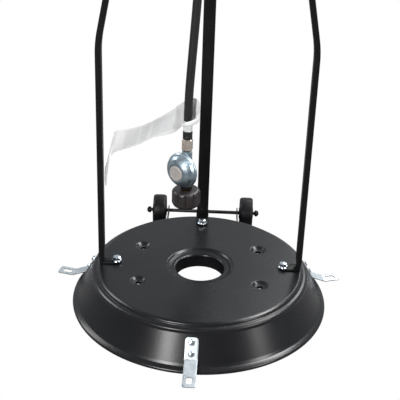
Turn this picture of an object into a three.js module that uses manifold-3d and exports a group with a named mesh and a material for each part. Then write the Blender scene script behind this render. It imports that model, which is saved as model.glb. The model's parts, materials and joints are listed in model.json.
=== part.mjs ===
// Free-standing gas patio heater, in millimetres, +Z up, origin on the floor under the post.
//
// A pressed steel base carries three bent tube legs on its left, rear and right, with the front
// left open for the gas bottle.  The legs close in on a tall post.  The hose hangs out of the
// post's open lower end and ends in a regulator with a hand nut.  The head on top of the post
// holds the valve, the burner, the emitter screen and the reflector.
import * as THREE from 'three';
import { mergeVertices } from 'three/addons/utils/BufferGeometryUtils.js';
import Module from 'manifold-3d';

const wasm = await Module();
wasm.setup();

// ---------------------------------------------------------------- driving dimensions
const GAP = 0.3;                 // clearance left between pieces that touch
const MERGE = 1e-3;              // vertices closer than this are one vertex

const PAN = {
  top: 71.5, sheet: 1.2, radius: 230, plateRadius: 178, holeRadius: 43.3, dishRadius: 61,
  dishDepth: 4.7, collarDepth: 25, segments: 36,
};
const DIMPLE = { x: 106.6, y: 60, radius: 14, depth: 4.2, hole: 4.5, collar: 5.5, segments: 10 };
const BOLT_SIDES = 10;           // sides of a small round hole or shank
// The straight skirt, as [radius, height] of the middle of the sheet at its two ends.
const SKIRT = { high: [194.2, 57], low: [218.5, 14] };

const LEG = {
  radius: 177, width: 22, depth: 10, wall: 1.4, straightTop: 466, lean: 30,
  tabLength: 37, tabWidth: 22, tabThick: 3, flareWidth: 24, flareDepth: 6, flareHeight: 16,
  steps: 20,
};
const LEG_ANGLES = [['right', 0], ['rear', 90], ['left', 180]];
const LEG_BOLT = { thread: 3, flange: 6.5, acrossFlats: 10, head: 4.5, length: 16 };
const FOOT_BOLT = { radius: 150, thread: 4, flange: 9, acrossFlats: 13, head: 6, length: 16 };

const CLIP = {
  width: 22, thick: 2, topHeight: 52.5, bendHeight: 21, toeRadius: 273, heelRadius: 243,
  toeHeight: 9.6, slotWidth: 10.5, slotLength: 18,
};
const CLIPS = { front: -92, right: 16.5, left: 166.5 };   // degrees round the base
const CLIP_SCREWS = { upper: 45.3, lower: 28.5 };         // heights on the skirt
const SCREW = { head: 5, shank: 2.5, length: 9 };

const WHEEL = { radius: 32, width: 26, hub: 11, hubWidth: 29, bore: 4, x: 88.5 };
const AXLE = { y: 265.5, z: 37, radius: 3.5, length: 219, capOverlap: 3 };
const BRACKET = { x: 70, thick: 2, lug: 10, flangeWidth: 28, flangeLength: 30, low: 22, high: 47 };
// Each bracket's rivet sits this far along X and Y, which sets its angle round the base.
const RIVET = { x: 57, y: 201, z: 36, head: 4.6, shank: 2.5, length: 8 };

const POST = { radius: 28.5, wall: 1.6, bottom: 872, top: 1762, segments: 24 };
const LEG_BOLT_DROP = 34;        // distance from a leg's top end down to its bolt

const HOSE = { radius: 7.25, sides: 8, steps: 36 };
// Route of the hose's centre line, from the valve down the post and out of its lower end.
const HOSE_ROUTE = [
  [0, 0, 1802], [0, 0, 1740], [0, 0, 1620], [0, 0, 1480], [0, 0, 1340], [0, 0, 1200], [0, 0, 1060],
  [-0.5, 0.5, 960], [-1.8, 1.6, 890], [-4.6, 3.8, 820], [-8.8, 7.6, 740], [-13.4, 12.2, 660],
  [-17.4, 15.8, 590], [-20.3, 17.8, 535], [-23.2, 18.9, 485], [-25.9, 19.4, 440], [-28, 19.5, 400],
  [-28.9, 19.5, 370], [-29.1, 19.5, 345],
];
const HOSE_END = { x: -29.1, y: 19.5, z: 345 };
const TAG_FILM = 0.6;            // thickness that the tag's film is given here

const REGULATOR = { z: 255, radius: 32, turn: -37, offset: 11, shell: 1.5 };
const COUPLING = {
  bottom: 183, top: 214, radius: 25, lobes: 10, lobeDepth: 2.2, bore: 12.5, chamfer: 4,
};

const HOUSING = { collar: 29.8, radius: 80, bottom: 1742, waist: 1830, top: 1905, wall: 1.2 };
const KNOB = { radius: 21, z: 1868, depth: 20, stand: 6 };
const BUTTON = { radius: 8, angle: -128, length: 20, stand: 9, travel: 6 };
const SCREEN = { low: 78, high: 86, bottom: 1906, top: 2106, wall: 1 };
const CAP = { radius: 92, thick: 1.5, height: 16 };
const DISH = { radius: 405, crown: 2188, crownRadius: 72, edge: 2142, sheet: 1, segments: 36 };
const STUD = { ring: 52, radius: 3, bottom: 2100, top: 2203 };
const degrees = THREE.MathUtils.degToRad;

// ---------------------------------------------------------------- materials
const finish = (color, roughness, metalness) =>
  new THREE.MeshStandardMaterial({ color, roughness, metalness });
const FINISH = {
  powderCoat: finish(0x2b2b2d, 0.42, 0.3),
  tube: finish(0x232325, 0.5, 0.3),
  zinc: finish(0xb9c0c6, 0.34, 0.9),
  galvanised: finish(0xaeb6bc, 0.42, 0.85),
  nickel: finish(0xc8bdb0, 0.3, 0.95),
  steel: finish(0xb6b8ba, 0.3, 0.95),
  aluminium: finish(0xc6c8ca, 0.28, 0.95),
  plastic: finish(0x1c1b1d, 0.5, 0),
  handwheel: finish(0x2a2422, 0.45, 0),
  rubber: finish(0x191919, 0.62, 0),
  brass: finish(0xb08d4c, 0.35, 0.9),
  capDisc: finish(0xaba09b, 0.55, 0.1),
  diaphragm: finish(0x5a2f22, 0.7, 0),
  film: finish(0xe6e6e4, 0.5, 0),
};

// ---------------------------------------------------------------- solid helpers
const heater = new THREE.Group();

/** A position-only copy of a closed geometry with shared vertices and its faces outwards. */
function closed(geometry) {
  const bare = geometry.index ? geometry.toNonIndexed() : geometry.clone();
  bare.deleteAttribute('normal');
  bare.deleteAttribute('uv');
  const merged = mergeVertices(bare, MERGE);
  const position = merged.attributes.position;
  const corner = [new THREE.Vector3(), new THREE.Vector3(), new THREE.Vector3()];
  const kept = [];
  let volume = 0;
  for (let i = 0; i < merged.index.count; i += 3) {
    const face = [0, 1, 2].map((k) => merged.index.getX(i + k));
    if (new Set(face).size < 3) continue;
    face.forEach((vertex, k) => corner[k].fromBufferAttribute(position, vertex));
    volume += corner[0].dot(corner[1].clone().cross(corner[2]));
    kept.push(face);
  }
  merged.setIndex(kept.flatMap(([a, b, c]) => (volume < 0 ? [a, c, b] : [a, b, c])));
  return merged;
}

function toManifold(geometry) {
  const body = closed(geometry);
  return new wasm.Manifold(new wasm.Mesh({
    numProp: 3,
    vertProperties: new Float32Array(body.attributes.position.array),
    triVerts: new Uint32Array(body.index.array),
  }));
}

function fromManifold(solid) {
  const mesh = solid.getMesh();
  const geometry = new THREE.BufferGeometry();
  geometry.setAttribute('position', new THREE.BufferAttribute(mesh.vertProperties, 3));
  geometry.setIndex(new THREE.BufferAttribute(mesh.triVerts, 1));
  return geometry;
}

const join = (first, ...others) =>
  fromManifold(others.reduce((sum, other) => sum.add(toManifold(other)), toManifold(first)));

const cut = (first, ...tools) =>
  fromManifold(tools.reduce((rest, tool) => rest.subtract(toManifold(tool)), toManifold(first)));

/** Moves a geometry: turned by the given angles about X, Y and Z, then shifted. */
function moved(geometry, { x = 0, y = 0, z = 0, rx = 0, ry = 0, rz = 0 }) {
  const turn = new THREE.Quaternion().setFromEuler(new THREE.Euler(rx, ry, rz, 'ZYX'));
  const matrix = new THREE.Matrix4();
  matrix.compose(new THREE.Vector3(x, y, z), turn, new THREE.Vector3(1, 1, 1));
  return geometry.clone().applyMatrix4(matrix);
}

/** A ring or a disc turned about Z from a profile of [radius, height] pairs. */
function turned(profile, segments = 24) {
  const points = profile.map(([radius, height]) => new THREE.Vector2(radius, height));
  const onAxis = points[0].x === 0 && points.at(-1).x === 0;
  if (!onAxis) points.push(points[0].clone());
  return new THREE.LatheGeometry(points, segments).rotateX(Math.PI / 2);
}

const disc = (radius, low, high, segments = 20) =>
  turned([[0, low], [radius, low], [radius, high], [0, high]], segments);

const ring = (outer, inner, low, high, segments = 20) =>
  turned([[inner, low], [outer, low], [outer, high], [inner, high]], segments);

const block = (width, depth, height, place = {}) =>
  moved(new THREE.BoxGeometry(width, depth, height), place);

/** The closed outline of a sheet of the given thickness whose middle follows the points. */
function sheetOutline(points, thick) {
  const middle = points.map(([a, b]) => new THREE.Vector2(a, b));
  const side = (sign) => middle.map((point, i) => {
    const before = middle[Math.max(i - 1, 0)];
    const after = middle[Math.min(i + 1, middle.length - 1)];
    const into = point.clone().sub(before).normalize();
    const out = after.clone().sub(point).normalize();
    if (i === 0) into.copy(out);
    if (i === middle.length - 1) out.copy(into);
    const normal = new THREE.Vector2(-into.y - out.y, into.x + out.x).normalize();
    const miter = thick / 2 / (normal.x * -into.y + normal.y * into.x);
    return point.clone().addScaledVector(normal, sign * miter);
  });
  return [...side(1), ...side(-1).reverse()].map((point) => [point.x, point.y]);
}

function shapeOf(outline) {
  return new THREE.Shape(outline.map(([a, b]) => new THREE.Vector2(a, b)));
}

const extruded = (shape, depth, curveSegments = 6) =>
  new THREE.ExtrudeGeometry(shape, { depth, bevelEnabled: false, curveSegments });

/** A flat shape with a round end: a strip along +X from its square end to its round one. */
function roundEnded(length, width) {
  const shape = new THREE.Shape();
  shape.moveTo(0, -width / 2);
  shape.lineTo(length - width / 2, -width / 2);
  shape.absarc(length - width / 2, 0, width / 2, -Math.PI / 2, Math.PI / 2, false);
  shape.lineTo(0, width / 2);
  shape.closePath();
  return shape;
}

function slotShape(length, width) {
  const half = (length - width) / 2;
  const shape = new THREE.Shape();
  shape.absarc(half, 0, width / 2, -Math.PI / 2, Math.PI / 2, false);
  shape.absarc(-half, 0, width / 2, Math.PI / 2, Math.PI * 1.5, false);
  shape.closePath();
  return shape;
}

function hexagon(acrossFlats) {
  const corner = acrossFlats / Math.sqrt(3);
  const outline = [0, 1, 2, 3, 4, 5].map((k) => {
    const angle = k * Math.PI / 3;
    return [corner * Math.cos(angle), corner * Math.sin(angle)];
  });
  return shapeOf(outline);
}

/** A box that narrows upwards, as a flattened tube end does. */
function taper(lowWidth, lowDepth, highWidth, highDepth, height) {
  const geometry = new THREE.BoxGeometry(1, 1, height);
  const position = geometry.attributes.position;
  for (let i = 0; i < position.count; i += 1) {
    const high = position.getZ(i) > 0;
    position.setX(i, position.getX(i) * (high ? highDepth : lowDepth));
    position.setY(i, position.getY(i) * (high ? highWidth : lowWidth));
  }
  return geometry.translate(0, 0, height / 2);
}

/** A closed strip of film: stations of a centre and a half-width vector, with a thickness. */
function ribbon(stations, thick) {
  const centres = stations.map(([centre]) => new THREE.Vector3(...centre));
  const points = [];
  stations.forEach(([, half], i) => {
    const across = new THREE.Vector3(...half);
    const ahead = centres[Math.min(i + 1, centres.length - 1)].clone();
    ahead.sub(centres[Math.max(i - 1, 0)]);
    const up = ahead.cross(across).normalize().multiplyScalar(thick / 2);
    [[1, 1], [-1, 1], [-1, -1], [1, -1]].forEach(([a, b]) => {
      points.push(centres[i].clone().addScaledVector(across, a).addScaledVector(up, b));
    });
  });
  const index = [0, 1, 2, 0, 2, 3];
  for (let i = 0; i < stations.length - 1; i += 1) {
    for (let k = 0; k < 4; k += 1) {
      const [a, b] = [i * 4 + k, i * 4 + ((k + 1) % 4)];
      // The under side folds along the upper side's diagonal, so the film keeps its thickness.
      const split = k === 2 ? [a, a + 4, b, b, a + 4, b + 4] : [a, a + 4, b + 4, a, b + 4, b];
      index.push(...split);
    }
  }
  const last = (stations.length - 1) * 4;
  index.push(last, last + 2, last + 1, last, last + 3, last + 2);
  const geometry = new THREE.BufferGeometry().setFromPoints(points);
  geometry.setIndex(index);
  return geometry;
}

/** Adds one named piece of the heater to a group. */
function piece(name, geometry, material, parent = heater) {
  const body = closed(geometry);
  body.computeVertexNormals();
  const mesh = new THREE.Mesh(body, material);
  mesh.name = name;
  parent.add(mesh);
  return mesh;
}

/** A group turned about Z, for what repeats round the post. */
function turnedGroup(angle, parent = heater) {
  const group = new THREE.Group();
  group.rotation.z = degrees(angle);
  parent.add(group);
  return group;
}

// ---------------------------------------------------------------- the skirt's own geometry
const skirtRun = new THREE.Vector2(
  SKIRT.low[0] - SKIRT.high[0], SKIRT.low[1] - SKIRT.high[1]).normalize();
const skirtNormal = new THREE.Vector2(-skirtRun.y, skirtRun.x);
const skirtTilt = Math.atan2(skirtNormal.x, skirtNormal.y);

/** [radius, height] of the point at a height on the skirt, lifted off the middle of its sheet. */
function onSkirt(height, lift) {
  const share = (SKIRT.high[1] - height) / (SKIRT.high[1] - SKIRT.low[1]);
  const radius = SKIRT.high[0] + share * (SKIRT.low[0] - SKIRT.high[0]);
  return [radius + skirtNormal.x * lift, height + skirtNormal.y * lift];
}

/** Places a piece made along +Z so that it stands on the skirt, in the plane Y = 0. */
function standOnSkirt(height, lift) {
  const [x, z] = onSkirt(height, lift);
  return { x, z, ry: skirtTilt };
}

/** The cutter of a screw's or rivet's hole through what lies on the skirt. */
const skirtHole = (shank, height, lift) =>
  moved(disc(shank + GAP, -8, 8, BOLT_SIDES - 2), standOnSkirt(height, lift));

// ---------------------------------------------------------------- base
const bracketAngle = THREE.MathUtils.radToDeg(Math.atan2(RIVET.x, RIVET.y));

function basePan() {
  const floor = PAN.top - PAN.sheet / 2;
  const dish = floor - PAN.dishDepth;
  const collar = PAN.holeRadius + PAN.sheet / 2;
  const rim = PAN.radius - PAN.sheet / 2;
  // From the collar out over the dished ring, the plate, the two ridges, the skirt and the rim.
  const pan = turned(sheetOutline([
    [collar, dish - PAN.collarDepth], [collar, dish - 2], [PAN.dishRadius - 10, dish],
    [PAN.dishRadius, floor], [PAN.plateRadius, floor],
    [182.4, 69.4], [184.8, 65], [190, 64.2], [193.2, 61.4], SKIRT.high,
    SKIRT.low, [221.6, 9.8], [226, 8.2], [rim - 0.4, 6.6], [rim, PAN.sheet / 2],
    [rim - 3, PAN.sheet / 2], [rim - 3, 4.6],
  ], PAN.sheet), PAN.segments);

  const cups = [];
  const openings = [];
  for (const sx of [-1, 1]) {
    for (const sy of [-1, 1]) {
      const place = { x: sx * DIMPLE.x, y: sy * DIMPLE.y };
      const cup = turned(sheetOutline([
        [DIMPLE.radius + 2, floor], [DIMPLE.radius - 1, floor - 0.2],
        [DIMPLE.radius - 4, floor - DIMPLE.depth], [DIMPLE.hole + 0.6, floor - DIMPLE.depth],
        [DIMPLE.hole + 0.6, floor - DIMPLE.depth - DIMPLE.collar],
      ], PAN.sheet), DIMPLE.segments);
      cups.push(moved(cup, place));
      openings.push(moved(disc(DIMPLE.radius - 0.6, 60, 80, DIMPLE.segments), place));
    }
  }
  const holes = LEG_ANGLES.map(([, angle]) => (
    disc(FOOT_BOLT.thread + GAP, 60, 80, BOLT_SIDES)
      .translate(FOOT_BOLT.radius, 0, 0).rotateZ(degrees(angle))));
  for (const angle of Object.values(CLIPS)) {
    for (const height of Object.values(CLIP_SCREWS)) {
      holes.push(skirtHole(SCREW.shank, height, 0).rotateZ(degrees(angle)));
    }
  }
  for (const angle of [90 - bracketAngle, 90 + bracketAngle]) {
    holes.push(skirtHole(RIVET.shank, RIVET.z, 0).rotateZ(degrees(angle)));
  }
  return cut(join(cut(pan, ...openings), ...cups), ...holes);
}

// ---------------------------------------------------------------- legs
/** The leg's centre line in the X-Z plane: straight runs and arcs, starting upwards. */
class LegLine extends THREE.Curve {
  constructor(startRadius, startHeight, moves) {
    super();
    this.start = new THREE.Vector3(startRadius, 0, startHeight);
    this.moves = moves;
    this.total = moves.reduce((sum, move) => sum + this.lengthOf(move), 0);
  }

  lengthOf(move) {
    return move.run ?? Math.abs(move.lean) * move.radius;
  }

  getPoint(t) {
    const point = this.start.clone();
    let left = t * this.total;
    let lean = 0;                         // lean towards the post, from upright
    for (const move of this.moves) {
      const length = Math.min(left, this.lengthOf(move));
      const bend = 'run' in move ? 0 : Math.sign(move.lean) * length / move.radius;
      const chord = bend ? 2 * move.radius * Math.sin(Math.abs(bend) / 2) : length;
      point.x -= chord * Math.sin(lean + bend / 2);
      point.z += chord * Math.cos(lean + bend / 2);
      lean += bend;
      left -= length;
      if (left <= 0) break;
    }
    return point;
  }
}

const legStart = PAN.top + GAP + LEG.tabThick + LEG.flareHeight - 2;
const legMoves = [
  { run: LEG.straightTop - legStart }, { lean: degrees(11), radius: 200 }, { run: 60 },
  { lean: degrees(LEG.lean - 11), radius: 400 }, { run: 0 },
  { lean: degrees(-LEG.lean), radius: 150 }, { run: 86 },
];
// The slanting run is as long as it takes to bring the leg against the post.
const legReach = new LegLine(LEG.radius, legStart, legMoves).getPoint(1).x
  - (POST.radius + GAP + LEG.depth / 2);
legMoves[4].run = legReach / Math.sin(degrees(LEG.lean));
const legLine = new LegLine(LEG.radius, legStart, legMoves);
const legTop = legLine.getPoint(1).z;

function rectangle(width, height) {
  return shapeOf([
    [-width / 2, -height / 2], [width / 2, -height / 2],
    [width / 2, height / 2], [-width / 2, height / 2],
  ]);
}

function legGeometry() {
  const section = rectangle(LEG.width, LEG.depth);
  section.holes.push(rectangle(LEG.width - 2 * LEG.wall, LEG.depth - 2 * LEG.wall));
  const tube = new THREE.ExtrudeGeometry(section, { steps: LEG.steps, extrudePath: legLine });
  const footing = PAN.top + GAP;
  const flare = taper(LEG.flareWidth, LEG.flareDepth, LEG.width, LEG.depth, LEG.flareHeight);
  const tab = moved(extruded(roundEnded(LEG.tabLength, LEG.tabWidth), LEG.tabThick), {
    x: LEG.radius + 3, z: footing, rz: Math.PI,
  });
  const bolt = disc(FOOT_BOLT.thread + GAP, 0, 20, BOLT_SIDES);
  bolt.translate(FOOT_BOLT.radius, 0, footing - 5);
  const hole = LEG_BOLT.thread + GAP;
  const top = new THREE.CylinderGeometry(hole, hole, 30, 12).rotateZ(Math.PI / 2);
  top.translate(legLine.getPoint(1).x, 0, legTop - LEG_BOLT_DROP);
  return cut(
    join(tab, flare.translate(LEG.radius, 0, footing + LEG.tabThick - 0.5), tube), bolt, top);
}

/** A flanged hex bolt standing head up, with its bearing face at Z = 0. */
function flangeBolt({ thread, flange, acrossFlats, head, length }) {
  const base = turned([
    [0, -length], [thread, -length], [thread, 0], [flange, 0], [flange, 1], [flange - 1.6, 2],
    [0, 2],
  ], BOLT_SIDES);
  return join(base, extruded(hexagon(acrossFlats), head).translate(0, 0, 0.8));
}

function flangeNut({ thread, flange, acrossFlats }) {
  const body = join(disc(flange, 0, 1.4, 12), extruded(hexagon(acrossFlats), 6.5));
  return cut(body, disc(thread + GAP / 2, -1, 9, BOLT_SIDES));
}

function addBase() {
  piece('base_pan', basePan(), FINISH.powderCoat);
  for (const [side, angle] of LEG_ANGLES) {
    const group = turnedGroup(angle);
    piece(`leg_${side}`, legGeometry(), FINISH.tube, group);
    const bolt = piece(`foot_bolt_${side}`, flangeBolt(FOOT_BOLT), FINISH.zinc, group);
    bolt.position.set(FOOT_BOLT.radius, 0, PAN.top + LEG.tabThick + 2 * GAP);
    const nut = piece(`foot_nut_${side}`, flangeNut(FOOT_BOLT), FINISH.zinc, group);
    nut.position.set(FOOT_BOLT.radius, 0, PAN.top - PAN.sheet - GAP);
    nut.rotation.x = Math.PI;
    const legBolt = piece(`leg_bolt_${side}`, flangeBolt(LEG_BOLT), FINISH.zinc, group);
    legBolt.position.set(POST.radius + LEG.depth + 2 * GAP, 0, legTop - LEG_BOLT_DROP);
    legBolt.rotation.y = Math.PI / 2;
  }
}

// ---------------------------------------------------------------- ground clips
function clipGeometry() {
  const lift = PAN.sheet / 2 + GAP + CLIP.thick / 2;
  const strip = extruded(shapeOf(sheetOutline([
    onSkirt(CLIP.topHeight, lift), onSkirt(CLIP.bendHeight, lift),
    [CLIP.heelRadius, CLIP.toeHeight], [CLIP.toeRadius, CLIP.toeHeight],
  ], CLIP.thick)), CLIP.width).rotateX(Math.PI / 2).translate(0, CLIP.width / 2, 0);
  const slot = extruded(slotShape(CLIP.slotLength, CLIP.slotWidth), 12);
  slot.translate((CLIP.heelRadius + CLIP.toeRadius) / 2 - 1, 0, 4);
  const holes = Object.values(CLIP_SCREWS).map(
    (height) => skirtHole(SCREW.shank, height, lift));
  return cut(strip, slot, ...holes);
}

/** A round-head screw with its bearing face at Z = 0. */
function panScrew({ head, shank, length }) {
  return turned([
    [0, -length], [shank, -length], [shank, 0], [head, 0], [head - 0.4, 1.8], [head - 2.2, 3],
    [0, 3.3],
  ], BOLT_SIDES - 2);
}

function addClips() {
  for (const [side, angle] of Object.entries(CLIPS)) {
    const group = turnedGroup(angle);
    piece(`ground_clip_${side}`, clipGeometry(), FINISH.galvanised, group);
    for (const [row, height] of Object.entries(CLIP_SCREWS)) {
      const screw = piece(`clip_screw_${side}_${row}`, panScrew(SCREW), FINISH.zinc, group);
      const [x, z] = onSkirt(height, PAN.sheet / 2 + CLIP.thick + 2 * GAP);
      screw.position.set(x, 0, z);
      screw.rotation.y = skirtTilt;
    }
  }
}

// ---------------------------------------------------------------- wheels
function wheelGeometry() {
  const { radius, bore, hub } = WHEEL;
  const half = WHEEL.width / 2;
  const boss = WHEEL.hubWidth / 2;
  return turned([
    [bore, -boss], [hub, -boss], [hub + 1, -half + 4], [radius - 8, -half + 5],
    [radius - 5.5, -half], [radius - 1.5, -half], [radius, -half + 3], [radius, half - 3],
    [radius - 1.5, half], [radius - 5.5, half], [radius - 8, half - 5], [hub + 1, half - 4],
    [hub, boss], [bore, boss],
  ], 20).rotateY(Math.PI / 2);
}

/** One wheel bracket, for the side X > 0: an upright ear with a flange on the skirt. */
function bracketGeometry() {
  const lift = PAN.sheet / 2 + GAP + BRACKET.thick / 2;
  const outline = new THREE.Shape();
  const near = (height) => {
    const [radius, z] = onSkirt(height, lift - 0.6);
    return [Math.sqrt(radius ** 2 - BRACKET.x ** 2), z];
  };
  const [low, high] = [near(BRACKET.low), near(BRACKET.high)];
  outline.moveTo(...low);
  outline.absarc(AXLE.y, AXLE.z, BRACKET.lug, -Math.PI / 2, Math.PI / 2, false);
  outline.lineTo(...high);
  outline.closePath();
  // The outline is drawn in the Y-Z plane, so its two axes are turned onto Y and Z.
  const ear = extruded(outline, BRACKET.thick);
  ear.applyMatrix4(new THREE.Matrix4().makeBasis(
    new THREE.Vector3(0, 1, 0), new THREE.Vector3(0, 0, 1), new THREE.Vector3(1, 0, 0)));
  ear.translate(BRACKET.x - BRACKET.thick / 2, 0, 0);
  const flange = block(BRACKET.flangeLength, BRACKET.flangeWidth, BRACKET.thick,
    standOnSkirt(RIVET.z - 1, lift + 0.6));
  flange.rotateZ(degrees(90 - bracketAngle));
  const rivet = skirtHole(RIVET.shank, RIVET.z, 0);
  rivet.rotateZ(degrees(90 - bracketAngle));
  const axle = new THREE.CylinderGeometry(AXLE.radius + GAP, AXLE.radius + GAP, 20, 12);
  axle.rotateZ(Math.PI / 2).translate(BRACKET.x, AXLE.y, AXLE.z);
  return cut(join(ear, flange), rivet, axle);
}

function addWheels() {
  const axle = piece('axle', new THREE.CylinderGeometry(
    AXLE.radius, AXLE.radius, AXLE.length, 14).rotateZ(Math.PI / 2), FINISH.plastic);
  axle.position.set(0, AXLE.y, AXLE.z);
  for (const [side, sign] of [['right', 1], ['left', -1]]) {
    const wheel = piece(`wheel_${side}`, wheelGeometry(), FINISH.plastic);
    wheel.position.set(sign * WHEEL.x, AXLE.y, AXLE.z);
    const cap = piece(`axle_cap_${side}`, cut(turned([
      [0, 0], [6.2, 0], [6.4, 3], [5.4, 5.8], [3, 7.6], [0, 8.2],
    ], 12), disc(AXLE.radius + GAP / 2, -1, 4, 12)), FINISH.plastic);
    cap.position.set(sign * (AXLE.length / 2 - AXLE.capOverlap), AXLE.y, AXLE.z);
    cap.rotation.y = sign * Math.PI / 2;
    const bracket = bracketGeometry();
    if (sign < 0) bracket.scale(-1, 1, 1);
    piece(`wheel_bracket_${side}`, bracket, FINISH.powderCoat);
    const group = turnedGroup(90 - sign * bracketAngle);
    const rivet = piece(`bracket_rivet_${side}`, panScrew(RIVET), FINISH.powderCoat, group);
    const [x, z] = onSkirt(RIVET.z, PAN.sheet / 2 + BRACKET.thick + 2 * GAP + 0.6);
    rivet.position.set(x, 0, z);
    rivet.rotation.y = skirtTilt;
  }
}

// ---------------------------------------------------------------- post and hose
function addPost() {
  const tube = ring(POST.radius, POST.radius - POST.wall, POST.bottom, POST.top, POST.segments);
  const holes = LEG_ANGLES.map(([, angle]) => {
    const radius = LEG_BOLT.thread + GAP;
    const hole = new THREE.CylinderGeometry(radius, radius, 12, 12).rotateZ(Math.PI / 2);
    return hole.translate(POST.radius, 0, legTop - LEG_BOLT_DROP).rotateZ(degrees(angle));
  });
  piece('post', cut(tube, ...holes), FINISH.tube);
}

function addHose() {
  const route = new THREE.CatmullRomCurve3(HOSE_ROUTE.map((p) => new THREE.Vector3(...p)));
  const section = new THREE.Shape();
  section.absarc(0, 0, HOSE.radius, 0, Math.PI * 2, false);
  piece('gas_hose', new THREE.ExtrudeGeometry(section, {
    steps: HOSE.steps, extrudePath: route, curveSegments: HOSE.sides / 2,
  }), FINISH.rubber);

  const group = new THREE.Group();
  group.position.set(HOSE_END.x, HOSE_END.y, 0);
  heater.add(group);
  piece('hose_ferrule', turned([
    [0, 312], [7.6, 312], [7.6, 325], [8.4, 326], [8.4, 343], [7.4, HOSE_END.z - GAP],
    [0, HOSE_END.z - GAP],
  ], 16), FINISH.steel, group);
  piece('hose_nut', cut(extruded(hexagon(17), 21).translate(0, 0, 290),
    disc(7.6 + GAP, 309, 315, 16), disc(5.3 + GAP, 285, 300, 16)), FINISH.nickel, group);
}

// ---------------------------------------------------------------- regulator
function addRegulator() {
  const { radius, shell, offset } = REGULATOR;
  const stand = new THREE.Group();
  stand.position.set(HOSE_END.x, HOSE_END.y, REGULATOR.z);
  heater.add(stand);

  // The two covers are turned about an axis that points forwards and to the left.
  const outward = moved(new THREE.BufferGeometry().setFromPoints([new THREE.Vector3(0, 0, 1)]), {
    rx: Math.PI / 2, rz: degrees(REGULATOR.turn),
  }).attributes.position;
  const axis = new THREE.Vector3().fromBufferAttribute(outward, 0);
  const frontwards = (geometry, along) => moved(geometry, {
    x: axis.x * along, y: axis.y * along, z: axis.z * along,
    rx: Math.PI / 2, rz: degrees(REGULATOR.turn),
  });

  const rear = turned([
    [0, -20], [11, -20], [15, -12], [25, -7], [radius - 1, -3], [radius, -2], [radius, 0],
    [radius - 3, 0], [22, -5], [10, -9], [0, -9],
  ], 20);
  const body = join(
    frontwards(rear, offset), disc(9.5, -38, -20, 16), disc(5.3, 24, 44, 16),
    disc(9, 12, 33, 16), block(15, 15, 40));
  const chamber = frontwards(turned([
    [0, -9], [10, -9], [22, -5], [radius - 3, 0], [radius, 0], [radius, 24], [0, 24],
  ], 20), offset);
  piece('regulator_body', cut(body, chamber), FINISH.galvanised, stand);

  const front = sheetOutline([
    [12.5, 17.2], [16.5, 15.6], [24, 11], [radius - 2.2, 4.4], [radius - 0.6, 2.2],
    [radius - 0.6, GAP + 0.4],
  ], shell);
  piece('regulator_cover', frontwards(turned(front, 20), offset), FINISH.galvanised, stand);
  piece('regulator_cap', frontwards(turned([
    [0, 14.2], [11, 14.2], [11, 17.4], [13.6, 18.6], [13.4, 20.6], [12, 21.2], [0, 21.2],
  ], 16), offset), FINISH.capDisc, stand);
  piece('regulator_diaphragm', frontwards(turned([
    [0, 0.6], [26.5, 0.6], [26.5, 1.8], [0, 1.8],
  ], 16), offset), FINISH.diaphragm, stand);

  const turns = 4;
  class Coil extends THREE.Curve {
    getPoint(t) {
      const angle = t * turns * Math.PI * 2;
      return new THREE.Vector3(7 * Math.cos(angle), 7 * Math.sin(angle), 3 + 10 * t);
    }
  }
  const wire = new THREE.Shape();
  wire.absarc(0, 0, 0.7, 0, Math.PI * 2, false);
  piece('regulator_spring', frontwards(new THREE.ExtrudeGeometry(wire, {
    steps: turns * 10, extrudePath: new Coil(), curveSegments: 2,
  }), offset), FINISH.steel, stand);
}

/** The outline of the hand nut: a circle with shallow scallops round it. */
function lobedOutline({ radius, lobes, lobeDepth }) {
  const steps = lobes * 3;
  return Array.from({ length: steps }, (_, i) => {
    const angle = i * Math.PI * 2 / steps;
    const reach = radius - lobeDepth * (1 - Math.abs(Math.cos(angle * lobes / 2))) ** 1.5;
    return [reach * Math.cos(angle), reach * Math.sin(angle)];
  });
}

function addCoupling() {
  const group = new THREE.Group();
  group.position.set(HOSE_END.x, HOSE_END.y, 0);
  heater.add(group);
  const height = COUPLING.top - COUPLING.bottom;
  const nut = extruded(shapeOf(lobedOutline(COUPLING)), height).translate(0, 0, COUPLING.bottom);
  const stemHole = disc(8.8, COUPLING.bottom, COUPLING.top + 1, 20);
  const socket = disc(COUPLING.bore, COUPLING.bottom - 1, COUPLING.top - 6, 24);
  // Cones turned over each end leave the chamfers.
  const reach = COUPLING.radius + 4;
  const crown = turned([
    [COUPLING.radius - COUPLING.chamfer, COUPLING.top + 0.5],
    [reach, COUPLING.top - COUPLING.chamfer], [reach, COUPLING.top + 0.5],
  ], 24);
  const skirt = turned([
    [COUPLING.radius - COUPLING.chamfer, COUPLING.bottom - 0.5],
    [reach, COUPLING.bottom - 0.5], [reach, COUPLING.bottom + COUPLING.chamfer],
  ], 24);
  piece('coupling_nut', cut(nut, stemHole, socket, crown, skirt), FINISH.handwheel, group);
  piece('inlet_stem', cut(turned([
    [0, 194], [7, 194], [8, 197], [8, 199], [11.4, 200], [11.4, 206], [8, 207.4],
    [8, 215], [10.5, 215.7], [0, 215.7],
  ], 14), disc(3, 190, 212, 8)), FINISH.brass, group);
}

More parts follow.
